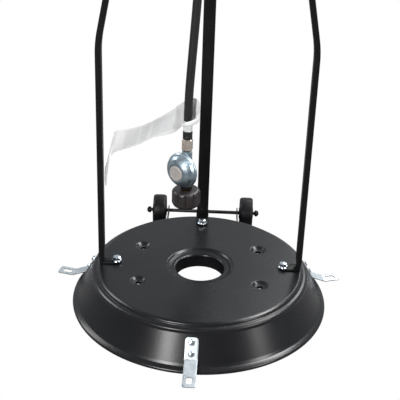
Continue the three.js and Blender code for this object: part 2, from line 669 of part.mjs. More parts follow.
// ---------------------------------------------------------------- instruction tag
/** A long film strip: it loops round the hose and trails away to the left, then hangs. */
function addTag() {
  const stations = [
    [[-171.5, 33, 209], [0.4, 5, 0.5]], [[-170.5, 30, 226], [1.2, 10, 1.5]],
    [[-168, 25, 250], [2.2, 15, 4]], [[-164.5, 19, 274], [3, 17, 9]],
    [[-159.5, 14, 293], [3, 11, 17]], [[-153, 11, 303], [1.5, 1, 20]],
    [[-137, 11, 308], [3.5, -4, 21]], [[-110, 13, 317], [5, -5, 21]],
    [[-83, 16, 331], [5.5, -5, 21]], [[-61, 20, 339], [4, -2, 24]], [[-49, 25, 344], [2, 0, 24.5]],
    [[-38, 29, 352], [1, 0, 22.5]], [[-27, 31.5, 359], [1, 0, 21]], [[-16, 30, 361], [0.5, 0, 19]],
    [[-10, 24, 360], [0, 0.5, 14]], [[-10.5, 16, 352], [0, 1.5, 8.5]],
    [[-16, 10.4, 347], [1, 0, 5.6]], [[-25.5, 8.8, 343], [0.5, 0, 4.8]],
    [[-33.5, 9.2, 340], [0.5, 0, 4]], [[-38.6, 14, 338.5], [0, 0.6, 3.6]],
    [[-40, 20, 338], [0, 0.6, 3.4]],
  ];
  piece('hang_tag', ribbon(stations, TAG_FILM), FINISH.film);
}

// ---------------------------------------------------------------- head
function addHousing() {
  const { collar, radius, bottom, waist, top, wall } = HOUSING;
  const shell = turned(sheetOutline([
    [collar + wall, bottom], [collar + wall, bottom + 26], [radius * 0.62, bottom + 44],
    [radius, waist], [radius, top - 3], [radius - 3, top], [34, top],
  ], wall), 20);
  const stem = new THREE.CylinderGeometry(6.5, 6.5, 30, 16);
  stem.translate(0, -radius, KNOB.z);
  const button = disc(BUTTON.radius + 0.5, -15, 15, 16).rotateY(Math.PI / 2);
  button.translate(radius, 0, KNOB.z).rotateZ(degrees(BUTTON.angle));
  piece('control_housing', cut(shell, stem, button), FINISH.steel);
}

function addControls() {
  const { radius } = HOUSING;
  const valve = join(
    block(34, 40, 46, { z: KNOB.z - 6 }),
    disc(9, KNOB.z - 65.5, KNOB.z - 20, 16),
    disc(9, KNOB.z + 10, KNOB.z + 30, 16),
    new THREE.CylinderGeometry(9, 9, 22, 16).translate(0, -28, KNOB.z));
  const bore = new THREE.CylinderGeometry(4.2, 4.2, 36, 12).translate(0, -34, KNOB.z);
  piece('gas_valve', cut(valve, bore), FINISH.brass);

  const stemLength = radius + KNOB.stand + 8 - 24;
  const stem = piece('valve_stem', new THREE.CylinderGeometry(
    3.8, 3.8, stemLength, 14), FINISH.steel);
  stem.position.set(0, -(24 + stemLength / 2), KNOB.z);

  // The knob is turned about an axis that points forwards, with a bore for the stem.
  const knob = turned([
    [0, 0], [KNOB.radius, 0], [KNOB.radius, 4], [KNOB.radius - 2, 5.5],
    [KNOB.radius - 3.4, KNOB.depth - 2], [KNOB.radius - 5, KNOB.depth], [0, KNOB.depth],
  ], 20);
  const pointer = block(3, KNOB.radius - 4, 2, { y: KNOB.radius / 2 - 4, z: KNOB.depth + 0.5 });
  const knobPiece = piece('control_knob', cut(
    join(knob, pointer), disc(3.8 + GAP, -1, 8.5, 14)), FINISH.plastic);
  knobPiece.position.set(0, -(radius + KNOB.stand), KNOB.z);
  knobPiece.rotation.x = Math.PI / 2;

  const button = turned([
    [0, 0], [BUTTON.radius, 0], [BUTTON.radius, BUTTON.length - 1],
    [BUTTON.radius - 1, BUTTON.length], [0, BUTTON.length],
  ], 20).rotateY(Math.PI / 2);
  const group = turnedGroup(BUTTON.angle);
  const buttonPiece = piece('igniter_button', button, FINISH.plastic, group);
  buttonPiece.position.set(radius + BUTTON.stand - BUTTON.length, 0, KNOB.z);

  const igniter = turned([[0, 0], [10, 0], [10, 34], [0, 34]], 16).rotateY(Math.PI / 2);
  const igniterPiece = piece('igniter', igniter, FINISH.plastic, group);
  igniterPiece.position.set(
    radius + BUTTON.stand - BUTTON.length - BUTTON.travel - 1.5 - 34, 0, KNOB.z);
}

function addBurner() {
  const base = KNOB.z + 30 + GAP;
  piece('mixer_tube', cut(turned([
    [0, base], [12, base], [12, base + 40], [26, base + 62], [52, base + 70], [52, base + 73],
    [0, base + 73],
  ], 18), disc(8, base + 6, base + 68, 16), disc(3, base - 1, base + 8, 12),
  new THREE.CylinderGeometry(4, 4, 40, 10).translate(0, 0, base + 16)), FINISH.steel);

  // The pilot burner and its thermocouple stand side by side on one small plate.
  const pilot = join(block(16, 30, 2, { x: 59, y: 8, z: 1912 }),
    disc(3, 1912, 1984, 10).translate(60, 0, 0), disc(5, 1982, 1994, 10).translate(60, 0, 0),
    disc(2.2, 1912, 2000, 8).translate(58, 16, 0));
  piece('pilot_assembly', pilot, FINISH.brass);

  const { low, high, bottom, top, wall } = SCREEN;
  piece('emitter_screen', turned(sheetOutline([
    [low, bottom], [low, bottom + 12], [high, top - 12], [high, top],
  ], wall), 24), FINISH.steel);

  const { radius, thick, height } = CAP;
  const lid = turned(sheetOutline([
    [radius, top - height], [radius, top + 0.5], [radius - 2, top + thick], [0.5, top + thick],
  ], thick), 24);
  const plug = turned([
    [0, top + 0.8], [2, top + 0.8], [2, top + 2.2], [0, top + 2.2],
  ], 12);
  const studHoles = [0, 120, 240].map((angle) => disc(STUD.radius + GAP, top - 5, top + 8, 8)
    .translate(STUD.ring, 0, 0).rotateZ(degrees(angle)));
  piece('burner_cap', cut(join(lid, plug), ...studHoles), FINISH.steel);
}

function addReflector() {
  const { radius, crown, crownRadius, edge, sheet } = DISH;
  const slope = (crown - 4 - edge) / (radius - 6 - crownRadius);
  const drop = (at) => crown - 4 - slope * (at - crownRadius);
  const dish = turned([
    [0, crown + sheet], [crownRadius - 6, crown + sheet], [crownRadius, crown - 2],
    [200, drop(200) + 6], [300, drop(300) + 5], [radius - 6, edge + sheet],
    [radius - 2, edge - 2], [radius, edge - 1], [radius - 1, edge - 5], [radius - 4, edge - 4.5],
    [radius - 7, edge], [300, drop(300) + 4], [200, drop(200) + 5], [crownRadius, crown - 3],
    [crownRadius - 6, crown], [0, crown],
  ], DISH.segments);
  const holes = [0, 120, 240].map((angle) => disc(STUD.radius + GAP, crown - 5, crown + 5, 8)
    .translate(STUD.ring, 0, 0).rotateZ(degrees(angle)));
  piece('reflector', cut(dish, ...holes), FINISH.aluminium);

  [0, 120, 240].forEach((angle, i) => {
    const group = turnedGroup(angle);
    // Each stud has a shoulder above the cap and another under the dish.
    const stud = piece(`reflector_stud_${i + 1}`, turned([
      [0, STUD.bottom], [STUD.radius, STUD.bottom], [STUD.radius, SCREEN.top + 2.6],
      [6, SCREEN.top + 2.6], [6, SCREEN.top + 8], [STUD.radius, SCREEN.top + 8],
      [STUD.radius, crown - 6], [6, crown - 6], [6, crown - GAP], [STUD.radius, crown - GAP],
      [STUD.radius, STUD.top], [0, STUD.top],
    ], 8), FINISH.zinc, group);
    stud.position.x = STUD.ring;
    const body = join(
      turned([[0, 0], [6, 0], [4.6, 8], [0, 8]], 10),
      block(9, 2, 9, { x: 7, z: 8 }), block(9, 2, 9, { x: -7, z: 8 }));
    const nut = piece(`wing_nut_${i + 1}`, cut(body, disc(STUD.radius + GAP / 2, -1, 14, 8)),
      FINISH.zinc, group);
    nut.position.set(STUD.ring, 0, crown + sheet + GAP);
    nut.rotation.z = Math.PI / 2;
  });
}

addBase();
addClips();
addWheels();
addPost();
addHose();
addRegulator();
addCoupling();
addTag();
addHousing();
addControls();
addBurner();
addReflector();

export default heater;
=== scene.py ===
"""Free-standing gas patio heater: the visual model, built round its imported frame.

Sizes are in millimetres and turned to metres where a mesh is made.  The heater stands on the floor
with +Z up and its open front towards -Y.  Each sub-assembly is a class that holds its own sizes and
builds and dresses its own pieces; each finish is a small frozen class that makes one material.
"""
from __future__ import annotations

import json
import logging
import math
from dataclasses import dataclass, field
from enum import Enum
from typing import Any, Sequence

import bmesh
import bpy
from bpy.types import Material, Mesh, Node, NodeSocket, NodeTree, Object
from mathutils import Matrix, Vector
from mathutils.geometry import delaunay_2d_cdt

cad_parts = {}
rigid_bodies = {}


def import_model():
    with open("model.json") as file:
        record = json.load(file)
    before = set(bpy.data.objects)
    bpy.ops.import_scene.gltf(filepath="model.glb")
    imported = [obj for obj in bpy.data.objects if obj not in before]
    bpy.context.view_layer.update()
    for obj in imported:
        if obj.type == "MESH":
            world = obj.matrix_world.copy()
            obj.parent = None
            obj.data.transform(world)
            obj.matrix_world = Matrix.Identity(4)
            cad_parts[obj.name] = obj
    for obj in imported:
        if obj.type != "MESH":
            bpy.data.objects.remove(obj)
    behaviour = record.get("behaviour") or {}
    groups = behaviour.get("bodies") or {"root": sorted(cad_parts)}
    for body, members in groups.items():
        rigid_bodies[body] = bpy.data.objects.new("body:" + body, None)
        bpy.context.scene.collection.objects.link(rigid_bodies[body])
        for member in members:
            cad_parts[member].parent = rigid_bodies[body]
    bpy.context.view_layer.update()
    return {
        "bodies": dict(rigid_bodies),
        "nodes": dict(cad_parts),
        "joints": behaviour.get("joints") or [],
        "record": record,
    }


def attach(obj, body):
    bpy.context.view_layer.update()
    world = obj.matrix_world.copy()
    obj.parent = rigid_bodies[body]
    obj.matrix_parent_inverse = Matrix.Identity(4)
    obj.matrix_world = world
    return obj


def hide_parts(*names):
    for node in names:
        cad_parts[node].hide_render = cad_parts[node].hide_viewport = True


LOG = logging.getLogger("heater")
MM = 0.001
TAU = math.tau
Profile = Sequence[tuple[float, float]]


class Turn(Enum):
    """Which way a shape made along +Z points in the heater: the turn in degrees and its axis."""

    RIGHT = (90, "Y")
    LEFT = (-90, "Y")
    FRONT = (90, "X")


# ------------------------------------------------------------------ node and colour helpers
def linear(hex_colour: str) -> tuple[float, float, float, float]:
    """Turns an sRGB hex colour into the linear colour that a shader socket takes.

    Args:
        hex_colour: Six hex digits, with or without a leading #.

    Returns:
        Linear red, green, blue and an alpha of 1.
    """
    digits = hex_colour.lstrip("#")
    shares = [int(digits[i:i + 2], 16) / 255 for i in (0, 2, 4)]
    flat = [c / 12.92 if c <= 0.04045 else ((c + 0.055) / 1.055) ** 2.4 for c in shares]
    return flat[0], flat[1], flat[2], 1.0


def add_node(
    tree: NodeTree,
    kind: str,
    values: dict[Any, Any] | None = None,
    links: dict[Any, Any] | None = None,
    **settings: Any,
) -> Node:
    """Adds one node to a tree, with its settings, its own values and what feeds it.

    Args:
        tree: The tree that takes the node.
        kind: The node's type name.
        values: Values for inputs, by name or number.
        links: Output sockets to link, by the input's name or number.
        **settings: Properties of the node itself.

    Returns:
        The new node.
    """
    node = tree.nodes.new(kind)
    for name, value in settings.items():
        setattr(node, name, value)
    for key, value in (values or {}).items():
        node.inputs[key].default_value = value
    for key, source in (links or {}).items():
        tree.links.new(source, node.inputs[key])
    return node


def maths(tree: NodeTree, operation: str, *terms: Any) -> NodeSocket:
    """Adds one sum of sockets and numbers.

    Args:
        tree: The tree that takes the node.
        operation: The sum.
        *terms: Its sockets or numbers, in order.

    Returns:
        The result's socket.
    """
    values = {i: term for i, term in enumerate(terms) if isinstance(term, (int, float))}
    links = {i: term for i, term in enumerate(terms) if i not in values}
    return add_node(tree, "ShaderNodeMath", values, links, operation=operation).outputs[0]


# ------------------------------------------------------------------ finishes
@dataclass(frozen=True)
class Finish:
    """A surface finish with one colour that varies a little, and a fine relief.

    Attributes:
        name: The material's name.
        colour: The sRGB colour.
        shade: The sRGB colour of the darker patches.
        metallic: 0 for paint and plastic, 1 for bare metal.
        roughness: The mean roughness.
        spread: How far the roughness swings either way.
        patch: The size of the colour patches, in millimetres.
        grain: The size of the fine relief, in millimetres.
        relief: The depth of that relief, in millimetres.
        specular: The specular level of a non-metal.
        stretch: How many times longer the patches and the relief are along Z.
    """

    name: str
    colour: str
    shade: str
    metallic: float = 0.0
    roughness: float = 0.45
    spread: float = 0.05
    patch: float = 40.0
    grain: float = 1.2
    relief: float = 0.02
    specular: float = 0.5
    stretch: float = 1.0

    def material(self) -> Material:
        """Returns the finish's material, made the first time that it is asked for."""
        found = bpy.data.materials.get(self.name)
        if found is not None:
            return found
        made = bpy.data.materials.new(self.name)
        made.use_nodes = True
        made.diffuse_color = linear(self.colour)
        tree = made.node_tree
        tree.nodes.clear()
        shader = add_node(tree, "ShaderNodeBsdfPrincipled", {
            "Metallic": self.metallic, "Specular IOR Level": self.specular})
        self.dress(tree, shader)
        add_node(tree, "ShaderNodeOutputMaterial", links={"Surface": shader.outputs["BSDF"]})
        return made

    def place(self, tree: NodeTree) -> NodeSocket:
        """Adds the point that the patterns read: the object's own coordinates, stretched along Z.

        Args:
            tree: The material's tree.

        Returns:
            The vector socket.
        """
        where = add_node(tree, "ShaderNodeTexCoord")
        squeeze = add_node(
            tree, "ShaderNodeMapping", {"Scale": (1.0, 1.0, 1.0 / self.stretch)},
            {"Vector": where.outputs["Object"]})
        return squeeze.outputs["Vector"]

    def pattern(
        self, tree: NodeTree, place: NodeSocket
    ) -> NodeSocket:
        """Adds the soft patches that the colour and the roughness follow.

        Args:
            tree: The material's tree.
            place: The point that the pattern reads.

        Returns:
            The pattern's value, from 0 to 1.
        """
        patches = add_node(tree, "ShaderNodeTexNoise", {
            "Scale": 1 / (self.patch * MM), "Detail": 3.0, "Roughness": 0.55}, {"Vector": place})
        return patches.outputs["Fac"]

    def dress(self, tree: NodeTree, shader: Node) -> None:
        """Feeds the shader's colour, roughness and normal.

        Args:
            tree: The material's tree.
            shader: The principled shader.
        """
        place = self.place(tree)
        share = self.pattern(tree, place)
        ramp = add_node(tree, "ShaderNodeValToRGB", links={"Fac": share})
        for element, spot, colour in zip(
                ramp.color_ramp.elements, (0.32, 0.68), (self.shade, self.colour)):
            element.position = spot
            element.color = linear(colour)
        tree.links.new(ramp.outputs["Color"], shader.inputs["Base Color"])
        rough = add_node(tree, "ShaderNodeMapRange", {
            "To Min": self.roughness - self.spread, "To Max": self.roughness + self.spread,
        }, {"Value": share})
        tree.links.new(rough.outputs["Result"], shader.inputs["Roughness"])
        fine = add_node(tree, "ShaderNodeTexNoise", {
            "Scale": 1 / (self.grain * MM), "Detail": 2.0}, {"Vector": place})
        bump = add_node(tree, "ShaderNodeBump", {
            "Strength": 1.0, "Distance": self.relief * MM}, {"Height": fine.outputs["Fac"]})
        tree.links.new(bump.outputs["Normal"], shader.inputs["Normal"])


@dataclass(frozen=True)
class ZincPlate(Finish):
    """Zinc plate: a bright bluish metal with a faint crystal spangle over its soft patches."""

    spangle: float = 3.5

    def pattern(
        self, tree: NodeTree, place: NodeSocket
    ) -> NodeSocket:
        """Adds crystals of slightly different greys over the soft patches.

        Args:
            tree: The material's tree.
            place: The point that the pattern reads.

        Returns:
            The pattern's value, from 0 to 1.
        """
        crystals = add_node(tree, "ShaderNodeTexVoronoi", {
            "Scale": 1 / (self.spangle * MM)}, {"Vector": place})
        both = add_node(tree, "ShaderNodeMix", {"Factor": 0.3}, {
            "A": super().pattern(tree, place), "B": crystals.outputs["Color"]}, data_type="FLOAT")
        return both.outputs["Result"]


@dataclass(frozen=True)
class SpunMetal(Finish):
    """Metal spun on a lathe: fine rings round the Z axis in its roughness and relief."""

    def place(self, tree: NodeTree) -> NodeSocket:
        """Adds the pattern's point: the distance from the axis, so that the pattern is rings.

        Args:
            tree: The material's tree.

        Returns:
            The vector socket.
        """
        where = add_node(tree, "ShaderNodeTexCoord")
        flat = add_node(tree, "ShaderNodeVectorMath", {1: (1.0, 1.0, 0.0)}, {
            0: where.outputs["Object"]}, operation="MULTIPLY")
        reach = add_node(tree, "ShaderNodeVectorMath", links={0: flat.outputs["Vector"]},
                         operation="LENGTH")
        line = add_node(tree, "ShaderNodeCombineXYZ", links={"X": reach.outputs["Value"]})
        return line.outputs["Vector"]


@dataclass(frozen=True)
class TagFilm(Finish):
    """Thin white film with faint ruled lines across the strip; the material lets no light through."""

    rule: float = 2.6
    reach: float = 17.5
    ink: str = "#c6c6c8"

    def dress(self, tree: NodeTree, shader: Node) -> None:
        """Feeds the colour with ruled lines that keep off the strip's edges and break in blocks.

        Args:
            tree: The material's tree.
            shader: The principled shader.
        """
        film = add_node(tree, "ShaderNodeUVMap", uv_map="strip")
        axes = add_node(tree, "ShaderNodeSeparateXYZ", links={"Vector": film.outputs["UV"]})
        turn = maths(tree, "MULTIPLY", axes.outputs["Y"], TAU / self.rule)
        wave = maths(tree, "SINE", turn)
        line = add_node(tree, "ShaderNodeMapRange", {
            "From Min": -0.9, "From Max": 0.5}, {"Value": wave})
        blocks = add_node(tree, "ShaderNodeTexNoise", {
            "Scale": 0.05, "Detail": 1.0}, {"W": axes.outputs["Y"]}, noise_dimensions="1D")
        written = add_node(tree, "ShaderNodeMapRange", {
            "From Min": 0.42, "From Max": 0.48}, {"Value": blocks.outputs["Fac"]})
        inside = maths(tree, "LESS_THAN", maths(tree, "ABSOLUTE", axes.outputs["X"]), self.reach)
        shown = maths(tree, "MULTIPLY", line.outputs["Result"], written.outputs["Result"])
        mask = maths(tree, "MULTIPLY", shown, inside)
        # Inputs 6 and 7 and output 2 are the Mix node's colours.
        paint = add_node(tree, "ShaderNodeMix", {
            6: linear(self.colour), 7: linear(self.ink)}, {"Factor": mask},
            data_type="RGBA")
        tree.links.new(paint.outputs[2], shader.inputs["Base Color"])
        shader.inputs["Roughness"].default_value = self.roughness
        crease = add_node(tree, "ShaderNodeTexNoise", {"Scale": 0.12, "Detail": 3.0}, {
            "Vector": film.outputs["UV"]})
        bump = add_node(tree, "ShaderNodeBump", {
            "Strength": 0.6, "Distance": 0.8 * MM}, {"Height": crease.outputs["Fac"]})
        tree.links.new(bump.outputs["Normal"], shader.inputs["Normal"])


# Satin black powder coat on the pressed base: soft long highlights, near black between them.
POWDER_COAT = Finish(
    "satin_powder_coat", "#121214", "#0e0e10", roughness=0.27, spread=0.02, patch=60.0,
    grain=2.2, relief=0.0015, specular=0.38)
# The same coat on drawn tube is blacker and duller.
TUBE_COAT = Finish(
    "satin_black_tube_coat", "#101011", "#0c0c0d", roughness=0.38, spread=0.04, patch=35.0,
    grain=1.6, relief=0.004, specular=0.18)
# Bright zinc on the bolts: nearly white tops, dark sides.
BRIGHT_ZINC = ZincPlate(
    "bright_zinc_plate", "#dfe6ec", "#c3ccd4", metallic=1.0, roughness=0.24, spread=0.05,
    patch=6.0, grain=0.8, relief=0.004)
# Barrel-plated strip: a pale, dull, faintly blue grey.
CLIP_ZINC = ZincPlate(
    "zinc_plated_strip", "#cad0d4", "#b4bcc1", metallic=1.0, roughness=0.5, spread=0.05,
    patch=12.0, grain=1.0, relief=0.01)
# Blue passivated zinc on the regulator: satin, blue-grey, with soft bright streaks.
REGULATOR_ZINC = ZincPlate(
    "blue_passivated_zinc", "#b3c1c9", "#93a5af", metallic=1.0, roughness=0.35, spread=0.05,
    patch=18.0, grain=1.4, relief=0.004, spangle=5.0)
# Nickel on the swivel nut: a warm beige metal.
NICKEL = Finish(
    "nickel_plate", "#d9cec4", "#bdb0a4", metallic=0.85, roughness=0.24, spread=0.04, patch=8.0,
    grain=0.6, relief=0.006)
# Crimped steel sleeve: pale and matt, ribbed by its shape.
CRIMP_STEEL = Finish(
    "crimped_steel", "#f2f2f2", "#c9cacb", metallic=0.35, roughness=0.34, spread=0.08, patch=5.0,
    grain=0.9, relief=0.02)
# Moulded polypropylene: black with a faint broad sheen.
WHEEL_PLASTIC = Finish(
    "moulded_black_polypropylene", "#111013", "#0c0c0e", roughness=0.4, spread=0.05, patch=20.0,
    grain=0.7, relief=0.01, specular=0.22)
# Black oxide on the thin axle rod: a plain soft black.
AXLE_BLACK = Finish(
    "black_oxide_steel", "#131315", "#0f0f10", metallic=0.2, roughness=0.4, spread=0.06,
    patch=25.0, grain=0.7, relief=0.01)
# Moulded nylon on the hand nut: brown-black, with lighter lobes.
HAND_NUT_PLASTIC = Finish(
    "brown_black_nylon", "#2a2526", "#1d1716", roughness=0.38, spread=0.06, patch=14.0,
    grain=0.8, relief=0.02)
# Polythene cap disc: a matt warm grey.
CAP_DISC_PLASTIC = Finish(
    "warm_grey_polythene", "#a29d99", "#948e8a", roughness=0.5, spread=0.05, patch=9.0,
    grain=0.7, relief=0.015)
# Extruded rubber: a dull black whose faint marks run along the hose.
HOSE_RUBBER = Finish(
    "extruded_black_rubber", "#19191a", "#131314", roughness=0.5, spread=0.07, patch=12.0,
    grain=1.4, relief=0.03, specular=0.4, stretch=12.0)
# Turned brass on the stem, the valve and the pilot: warm yellow glints.
BRASS = Finish(
    "turned_brass", "#c9a45c", "#a8853f", metallic=1.0, roughness=0.3, spread=0.06, patch=10.0,
    grain=0.8, relief=0.01)
# Brushed stainless on the housing and the screen: fine lines round it, drawn as coarse as shows.
STAINLESS = Finish(
    "brushed_stainless", "#c4c5c6", "#a9aaac", metallic=1.0, roughness=0.3, spread=0.06,
    patch=3.0, grain=0.9, relief=0.012, stretch=0.03)
# Spun aluminium on the dish: pale, with faint rings.
SPUN_ALUMINIUM = SpunMetal(
    "spun_aluminium", "#d7d9db", "#c0c3c6", metallic=1.0, roughness=0.27, spread=0.05,
    patch=6.0, grain=1.6, relief=0.01)
# Nitrile sheet inside the regulator, matt red-brown, and its drawn spring wire.
DIAPHRAGM = Finish("red_brown_diaphragm", "#5d3024", "#4a261d", roughness=0.6, patch=8.0)
SPRING_STEEL = Finish(
    "spring_wire", "#b9bbbd", "#8f9193", metallic=1.0, roughness=0.3, patch=4.0)
# Thin polythene film: off-white, faintly creased, ruled in pale grey.
FILM = TagFilm("printed_tag_film", "#dbdbd9", "#dbdbd9", roughness=0.42)


# ------------------------------------------------------------------ shapes
@dataclass
class Shape:
    """Points and faces in millimetres, before they become a mesh."""

    points: list[Vector] = field(default_factory=list)
    faces: list[tuple[int, ...]] = field(default_factory=list)

    def __add__(self, other: Shape) -> Shape:
        """Returns both shapes as one.

        Args:
            other: The shape to join.

        Returns:
            The joined shape.
        """
        first = len(self.points)
        moved = [tuple(i + first for i in face) for face in other.faces]
        return Shape(self.points + other.points, self.faces + moved)

    def placed(self, place: Matrix) -> Shape:
        """Returns the shape moved by a matrix."""
        return Shape([place @ point for point in self.points], list(self.faces))


def shift(x: float = 0.0, y: float = 0.0, z: float = 0.0) -> Matrix:
    """Returns the matrix of a move in millimetres."""
    return Matrix.Translation((x, y, z))


def spin(degrees: float, axis: str = "Z") -> Matrix:
    """Returns the matrix of a turn about one of the axes."""
    return Matrix.Rotation(math.radians(degrees), 4, axis)


def facing(turn: Turn) -> Matrix:
    """Returns the matrix that lays a shape made along +Z the way that a Turn names."""
    return spin(*turn.value)


def rounded(points: Profile, radius: float, steps: int = 5, closed: bool = False) -> list[Vector]:
    """Rounds the corners of a line.

    Args:
        points: The line's corners.
        radius: The largest radius; a short side takes a smaller one.
        steps: Points on each corner's arc.
        closed: True for an outline, whose last corner joins its first.

    Returns:
        The points of the rounded line.
    """
    corners = [Vector(point) for point in points]
    count = len(corners)
    made: list[Vector] = []
    for i, corner in enumerate(corners):
        if not closed and i in (0, count - 1):
            made.append(corner.copy())
            continue
        back = corners[i - 1] - corner
        ahead = corners[(i + 1) % count] - corner
        opening = back.angle(ahead)
        if opening > math.radians(179):
            made.append(corner.copy())
            continue
        wanted = radius / math.tan(opening / 2)
        trim = min(wanted, 0.48 * back.length, 0.48 * ahead.length)
        start = corner + back.normalized() * trim
        end = corner + ahead.normalized() * trim
        for step in range(steps + 1):
            share = step / steps
            # A quadratic through the corner is close to the arc and keeps both tangents.
            made.append(start.lerp(corner, share).lerp(corner.lerp(end, share), share))
    return made


def loft(rings: Sequence[Sequence[Vector]], capped: bool = True, loop: bool = True) -> Shape:
    """Joins rings of equal length into a skin.

    Args:
        rings: The rings, in order.
        capped: True to close the first and the last ring with a face.
        loop: True if each ring's last point joins its first.

    Returns:
        The shape.
    """
    size = len(rings[0])
    shape = Shape([point.copy() for ring in rings for point in ring])
    for i in range(len(rings) - 1):
        for k in range(size if loop else size - 1):
            a, b = i * size + k, i * size + (k + 1) % size
            shape.faces.append((a, b, b + size, a + size))
    if capped:
        shape.faces.append(tuple(reversed(range(size))))
        last = (len(rings) - 1) * size
        shape.faces.append(tuple(range(last, last + size)))
    return shape


def circle(radius: float, height: float = 0.0, count: int = 64) -> list[Vector]:
    """Returns the points of a level circle round the Z axis."""
    return [Vector((radius * math.cos(TAU * k / count), radius * math.sin(TAU * k / count), height))
            for k in range(count)]


def lathe(profile: Sequence[Sequence[float]], count: int = 96, closed: bool = False) -> Shape:
    """Turns a profile of [radius, height] points about the Z axis.

    Args:
        profile: The profile's points. Points on the axis become one pole when doubles merge.
        count: Steps round the axis.
        closed: True if the profile's last point joins its first.

    Returns:
        The shape.
    """
    line = [tuple(point) for point in profile]
    if closed:
        line.append(line[0])
    rings = [circle(max(radius, 0.0), height, count) for radius, height in line]
    return loft(rings, capped=False)


def prism(outline: Sequence[Vector], low: float, high: float) -> Shape:
    """Returns a flat outline stood up between two heights."""
    rings = [[Vector((p.x, p.y, height)) for p in outline] for height in (low, high)]
    return loft(rings)


def offset_line(line: Sequence[Vector], distance: float) -> list[Vector]:
    """Shifts a line in a plane sideways.

    Args:
        line: The line's points.
        distance: How far to its left.

    Returns:
        The shifted points.
    """
    moved = []
    for i, point in enumerate(line):
        before, after = line[max(i - 1, 0)], line[min(i + 1, len(line) - 1)]
        along = (after - before).normalized()
        moved.append(Vector((point.x - along.y * distance, point.y + along.x * distance)))
    return moved


def sheet_profile(line: Sequence[Vector], thick: float) -> list[Vector]:
    """Returns the closed outline of a sheet whose middle follows a line."""
    return offset_line(line, thick / 2) + offset_line(line, -thick / 2)[::-1]


# ------------------------------------------------------------------ pieces
@dataclass
class Piece:
    """One finished piece of the heater: its shape, finish and place in the frame.

    Attributes:
        name: The object's name.
        shape: The shape in millimetres.
        finish: The finish of its surface.
        slot: The record's material slot; not used.
        replaces: The CAD nodes that it stands for.
        body: The CAD body that it moves with.
        wall: The thickness given to an open skin, in millimetres, or 0 for a closed shape.
        bevel: The width of the small bevel on its edges, in millimetres, or 0 for none.
        crease: Edges that turn by more than this many degrees stay sharp.
    """

    name: str
    shape: Shape
    finish: Finish
    slot: str
    replaces: tuple[str, ...] = ()
    body: str = "root"
    wall: float = 0.0
    bevel: float = 0.0
    crease: float = 38.0

    def make(self) -> Object:
        """Builds the object, gives it its wall, bevel and finish, and joins it to the frame.

        Returns:
            The finished object.
        """
        mesh = bpy.data.meshes.new(self.name)
        mesh.from_pydata([point * MM for point in self.shape.points], [], self.shape.faces)
        weld(mesh)
        made = new_object(self.name, mesh)
        if self.wall:
            skin = made.modifiers.new("wall", "SOLIDIFY")
            skin.thickness = self.wall * MM
            skin.offset = 0.0
            skin.use_even_offset = True
        if self.bevel:
            edge = made.modifiers.new("edges", "BEVEL")
            edge.width = self.bevel * MM
            edge.segments = 2
            edge.limit_method = "ANGLE"
            edge.angle_limit = math.radians(40)
        return self.join_frame(made)

    def join_frame(self, made: Object) -> Object:
        """Freezes an object's modifiers, dresses it and joins it to the frame.

        Args:
            made: The object, whose place is in its mesh.

        Returns:
            The same object.
        """
        freeze(made)
        made.data.materials.clear()
        made.data.materials.append(self.finish.material())
        made.data.shade_smooth()
        made.data.set_sharp_from_angle(angle=math.radians(self.crease))
        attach(made, self.body)
        if self.replaces:
            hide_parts(*self.replaces)
        LOG.info("%s: %d faces", self.name, len(made.data.polygons))
        return made


def weld(mesh: Mesh) -> None:
    """Merges a mesh's doubles and turns its faces outwards.

    Args:
        mesh: The mesh to mend.
    """
    work = bmesh.new()
    work.from_mesh(mesh)
    bmesh.ops.remove_doubles(work, verts=work.verts, dist=0.004 * MM)
    bmesh.ops.dissolve_degenerate(work, edges=work.edges, dist=0.002 * MM)
    bmesh.ops.recalc_face_normals(work, faces=work.faces)
    work.to_mesh(mesh)
    work.free()


def new_object(name: str, data: Any) -> Object:
    """Adds an object with its mesh, curve or other data to the scene."""
    made = bpy.data.objects.new(name, data)
    bpy.context.scene.collection.objects.link(made)
    return made


def freeze(made: Object) -> None:
    """Turns an object's evaluated result into its own plain mesh and removes its modifiers.

    Args:
        made: The object with its modifiers.
    """
    bpy.context.view_layer.update()
    graph = bpy.context.evaluated_depsgraph_get()
    result = bpy.data.meshes.new_from_object(
        made.evaluated_get(graph), preserve_all_data_layers=True, depsgraph=graph)
    made.modifiers.clear()
    made.data = result


def dress_node(frame: dict[str, Any], node: str, finish: Finish) -> None:
    """Gives a CAD node, whose shape stays, its finish.

    Args:
        node: The node's name.
        finish: The finish.
    """
    mesh = frame["nodes"][node].data
    mesh.materials.clear()
    mesh.materials.append(finish.material())
    LOG.info("%s: dressed", node)


# ------------------------------------------------------------------ geometry node trees
@dataclass(frozen=True)
class TreeInput:
    """One named input of a geometry tree: its socket type and the value that a modifier gives."""

    name: str
    kind: str
    value: Any


def start_tree(name: str, inputs: Sequence[TreeInput]) -> tuple[Any, Node]:
    """Starts a geometry tree that takes a geometry and some named inputs.

    Args:
        name: The tree's name.
        inputs: The named inputs, after the geometry.

    Returns:
        The tree and its group input node.
    """
    tree = bpy.data.node_groups.new(name, "GeometryNodeTree")
    tree.interface.new_socket("Geometry", in_out="INPUT", socket_type="NodeSocketGeometry")
    tree.interface.new_socket("Geometry", in_out="OUTPUT", socket_type="NodeSocketGeometry")
    for entry in inputs:
        tree.interface.new_socket(entry.name, in_out="INPUT", socket_type=entry.kind)
    return tree, add_node(tree, "NodeGroupInput")


